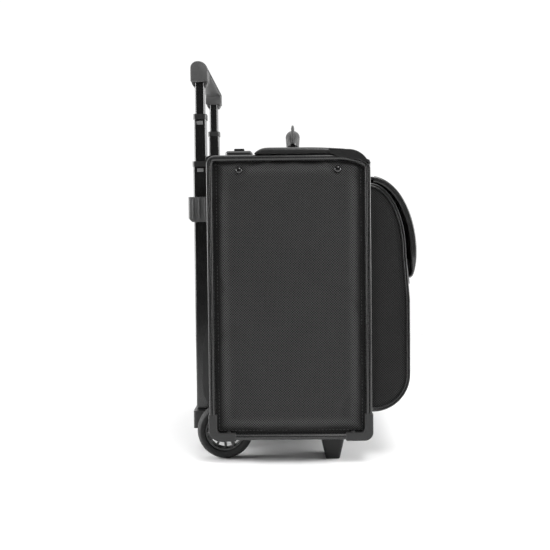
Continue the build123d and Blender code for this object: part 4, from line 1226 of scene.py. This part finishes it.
trolley_grip()
grip_lips()
tube_catches()
bracket_ribs()
recolour(TUBE, "outer_tubes", "mid_tubes", "inner_tubes")
recolour(BLACK, "outer_collars", "mid_collars", "mid_plugs", "lower_bracket")
recolour(STEEL, "lock_rods")
recolour(BRACKET, "upper_bracket")
recolour(GRIP, "release_button")


# ------------------------------------------------------------ locks
def numeral(digit, centre, radius):
    """One raised digit on the rim of a dial."""
    font = bpy.data.curves.new(f"digit_{digit}", "FONT")
    font.body = str(digit)
    font.size = 2.5 * MM
    font.extrude = 0.08 * MM
    font.align_x = "CENTER"
    font.align_y = "CENTER"
    shown = bpy.data.objects.new(f"font_{digit}", font)
    bpy.context.scene.collection.objects.link(shown)
    bpy.context.view_layer.update()
    mesh = bpy.data.meshes.new_from_object(shown)
    bpy.data.objects.remove(shown)
    turn = Matrix.Rotation(math.radians(36 * digit + 18), 4, "X")
    lift = Matrix.Translation((0, 0, radius * MM))
    mesh.transform(Matrix.Translation(Vector(centre) * MM) @ turn @ lift)
    mark = bpy.data.objects.new(f"mark_{digit}", mesh)
    bpy.context.scene.collection.objects.link(mark)
    return mark


def dial_numbers():
    """The numbers 0 to 9 round each dial."""
    for side_name, _ in SIDES:
        for number in (1, 2, 3):
            node = f"dial_{side_name}_{number}"
            low, high = box_mm(node)
            marks = [numeral(digit, (low + high) / 2, (high[2] - low[2]) / 2) for digit in range(10)]
            dress(join(f"dial_numbers_{side_name}_{number}", marks), INK, node)
            recolour(BRIGHT, node)


dial_numbers()
recolour(LOCK, "lock_base_left", "lock_base_right")
recolour(RIVET, "lock_slider_left", "lock_slider_right")


# ------------------------------------------------------------ stage, lights and camera
def map_range(tree, source, low, high, value_low, value_high):
    """A Map Range node's output: a smooth step from value_low at low to value_high at high."""
    step = tree.nodes.new("ShaderNodeMapRange")
    step.interpolation_type = "SMOOTHSTEP"
    step.inputs["From Min"].default_value = low
    step.inputs["From Max"].default_value = high
    step.inputs["To Min"].default_value = value_low
    step.inputs["To Max"].default_value = value_high
    tree.links.new(source, step.inputs["Value"])
    return step.outputs["Result"]


def pale_floor():
    """A pale floor that fades out into the room some way from the case."""
    half = 2.4
    mesh = bpy.data.meshes.new("floor")
    mesh.from_pydata([(x, y, 0) for x, y in rectangle(-half, half, -half, half)], [], [(0, 1, 2, 3)])
    floor = bpy.data.objects.new("floor", mesh)
    bpy.context.scene.collection.objects.link(floor)
    pale = bpy.data.materials.new("pale_floor")
    pale.use_nodes = True
    tree = pale.node_tree
    paper = tree.nodes["Principled BSDF"]
    paper.inputs["Base Color"].default_value = (0.86, 0.86, 0.86, 1)
    paper.inputs["Roughness"].default_value = 0.9
    place = tree.nodes.new("ShaderNodeTexCoord")
    reach = tree.nodes.new("ShaderNodeVectorMath")
    reach.operation = "LENGTH"
    tree.links.new(place.outputs["Object"], reach.inputs[0])
    tree.links.new(map_range(tree, reach.outputs["Value"], 0.7, 1.7, 1.0, 0.0), paper.inputs["Alpha"])
    mesh.materials.append(pale)


def room():
    """A room that is white beyond the case and dark behind the camera, so that the cloth stays dark."""
    world = bpy.data.worlds.new("room")
    world.use_nodes = True
    tree = world.node_tree
    backdrop = tree.nodes["Background"]
    backdrop.inputs["Color"].default_value = (1, 1, 1, 1)
    sky = tree.nodes.new("ShaderNodeTexCoord")
    split = tree.nodes.new("ShaderNodeSeparateXYZ")
    tree.links.new(sky.outputs["Generated"], split.inputs[0])
    tree.links.new(map_range(tree, split.outputs[0], -0.45, 0.45, 0.05, 1.05), backdrop.inputs["Strength"])
    bpy.context.scene.world = world


def lamp(name, place, target, width, power):
    """A square soft light."""
    light = bpy.data.lights.new(name, "AREA")
    light.size = width
    light.energy = power
    shown = bpy.data.objects.new(name, light)
    shown.location = place
    shown.rotation_euler = (Vector(target) - Vector(place)).to_track_quat("-Z", "Y").to_euler()
    bpy.context.scene.collection.objects.link(shown)


def camera():
    """A view of the left side from a little above its middle, tilted slightly."""
    lens = bpy.data.cameras.new("camera")
    lens.sensor_width = 36
    lens.lens = 63.76
    eye = bpy.data.objects.new("camera", lens)
    turn = Matrix.Rotation(math.radians(-90) + 0.019, 4, "Z")
    pitch = Matrix.Rotation(math.radians(90) - 0.0437, 4, "X")
    roll = Matrix.Rotation(-0.0113, 4, "Z")
    eye.matrix_world = Matrix.Translation((-1.4305, 0.0083, 0.2890)) @ turn @ pitch @ roll
    bpy.context.scene.collection.objects.link(eye)
    bpy.context.scene.camera = eye


pale_floor()
room()
lamp("overhead", place=(0.0, 0.0, 3.2), target=(0, 0, 0), width=3.5, power=42)
lamp("key", place=(-0.9, -0.35, 1.3), target=(-0.2, 0, 0.45), width=0.5, power=9.5)
lamp("front_rim", place=(-0.22, -1.3, 0.5), target=(0, 0, 0.25), width=0.8, power=26)
lamp("rear_rim", place=(-0.22, 1.3, 0.5), target=(0, 0, 0.25), width=0.8, power=26)
camera()
bpy.context.scene.view_settings.view_transform = "Standard"
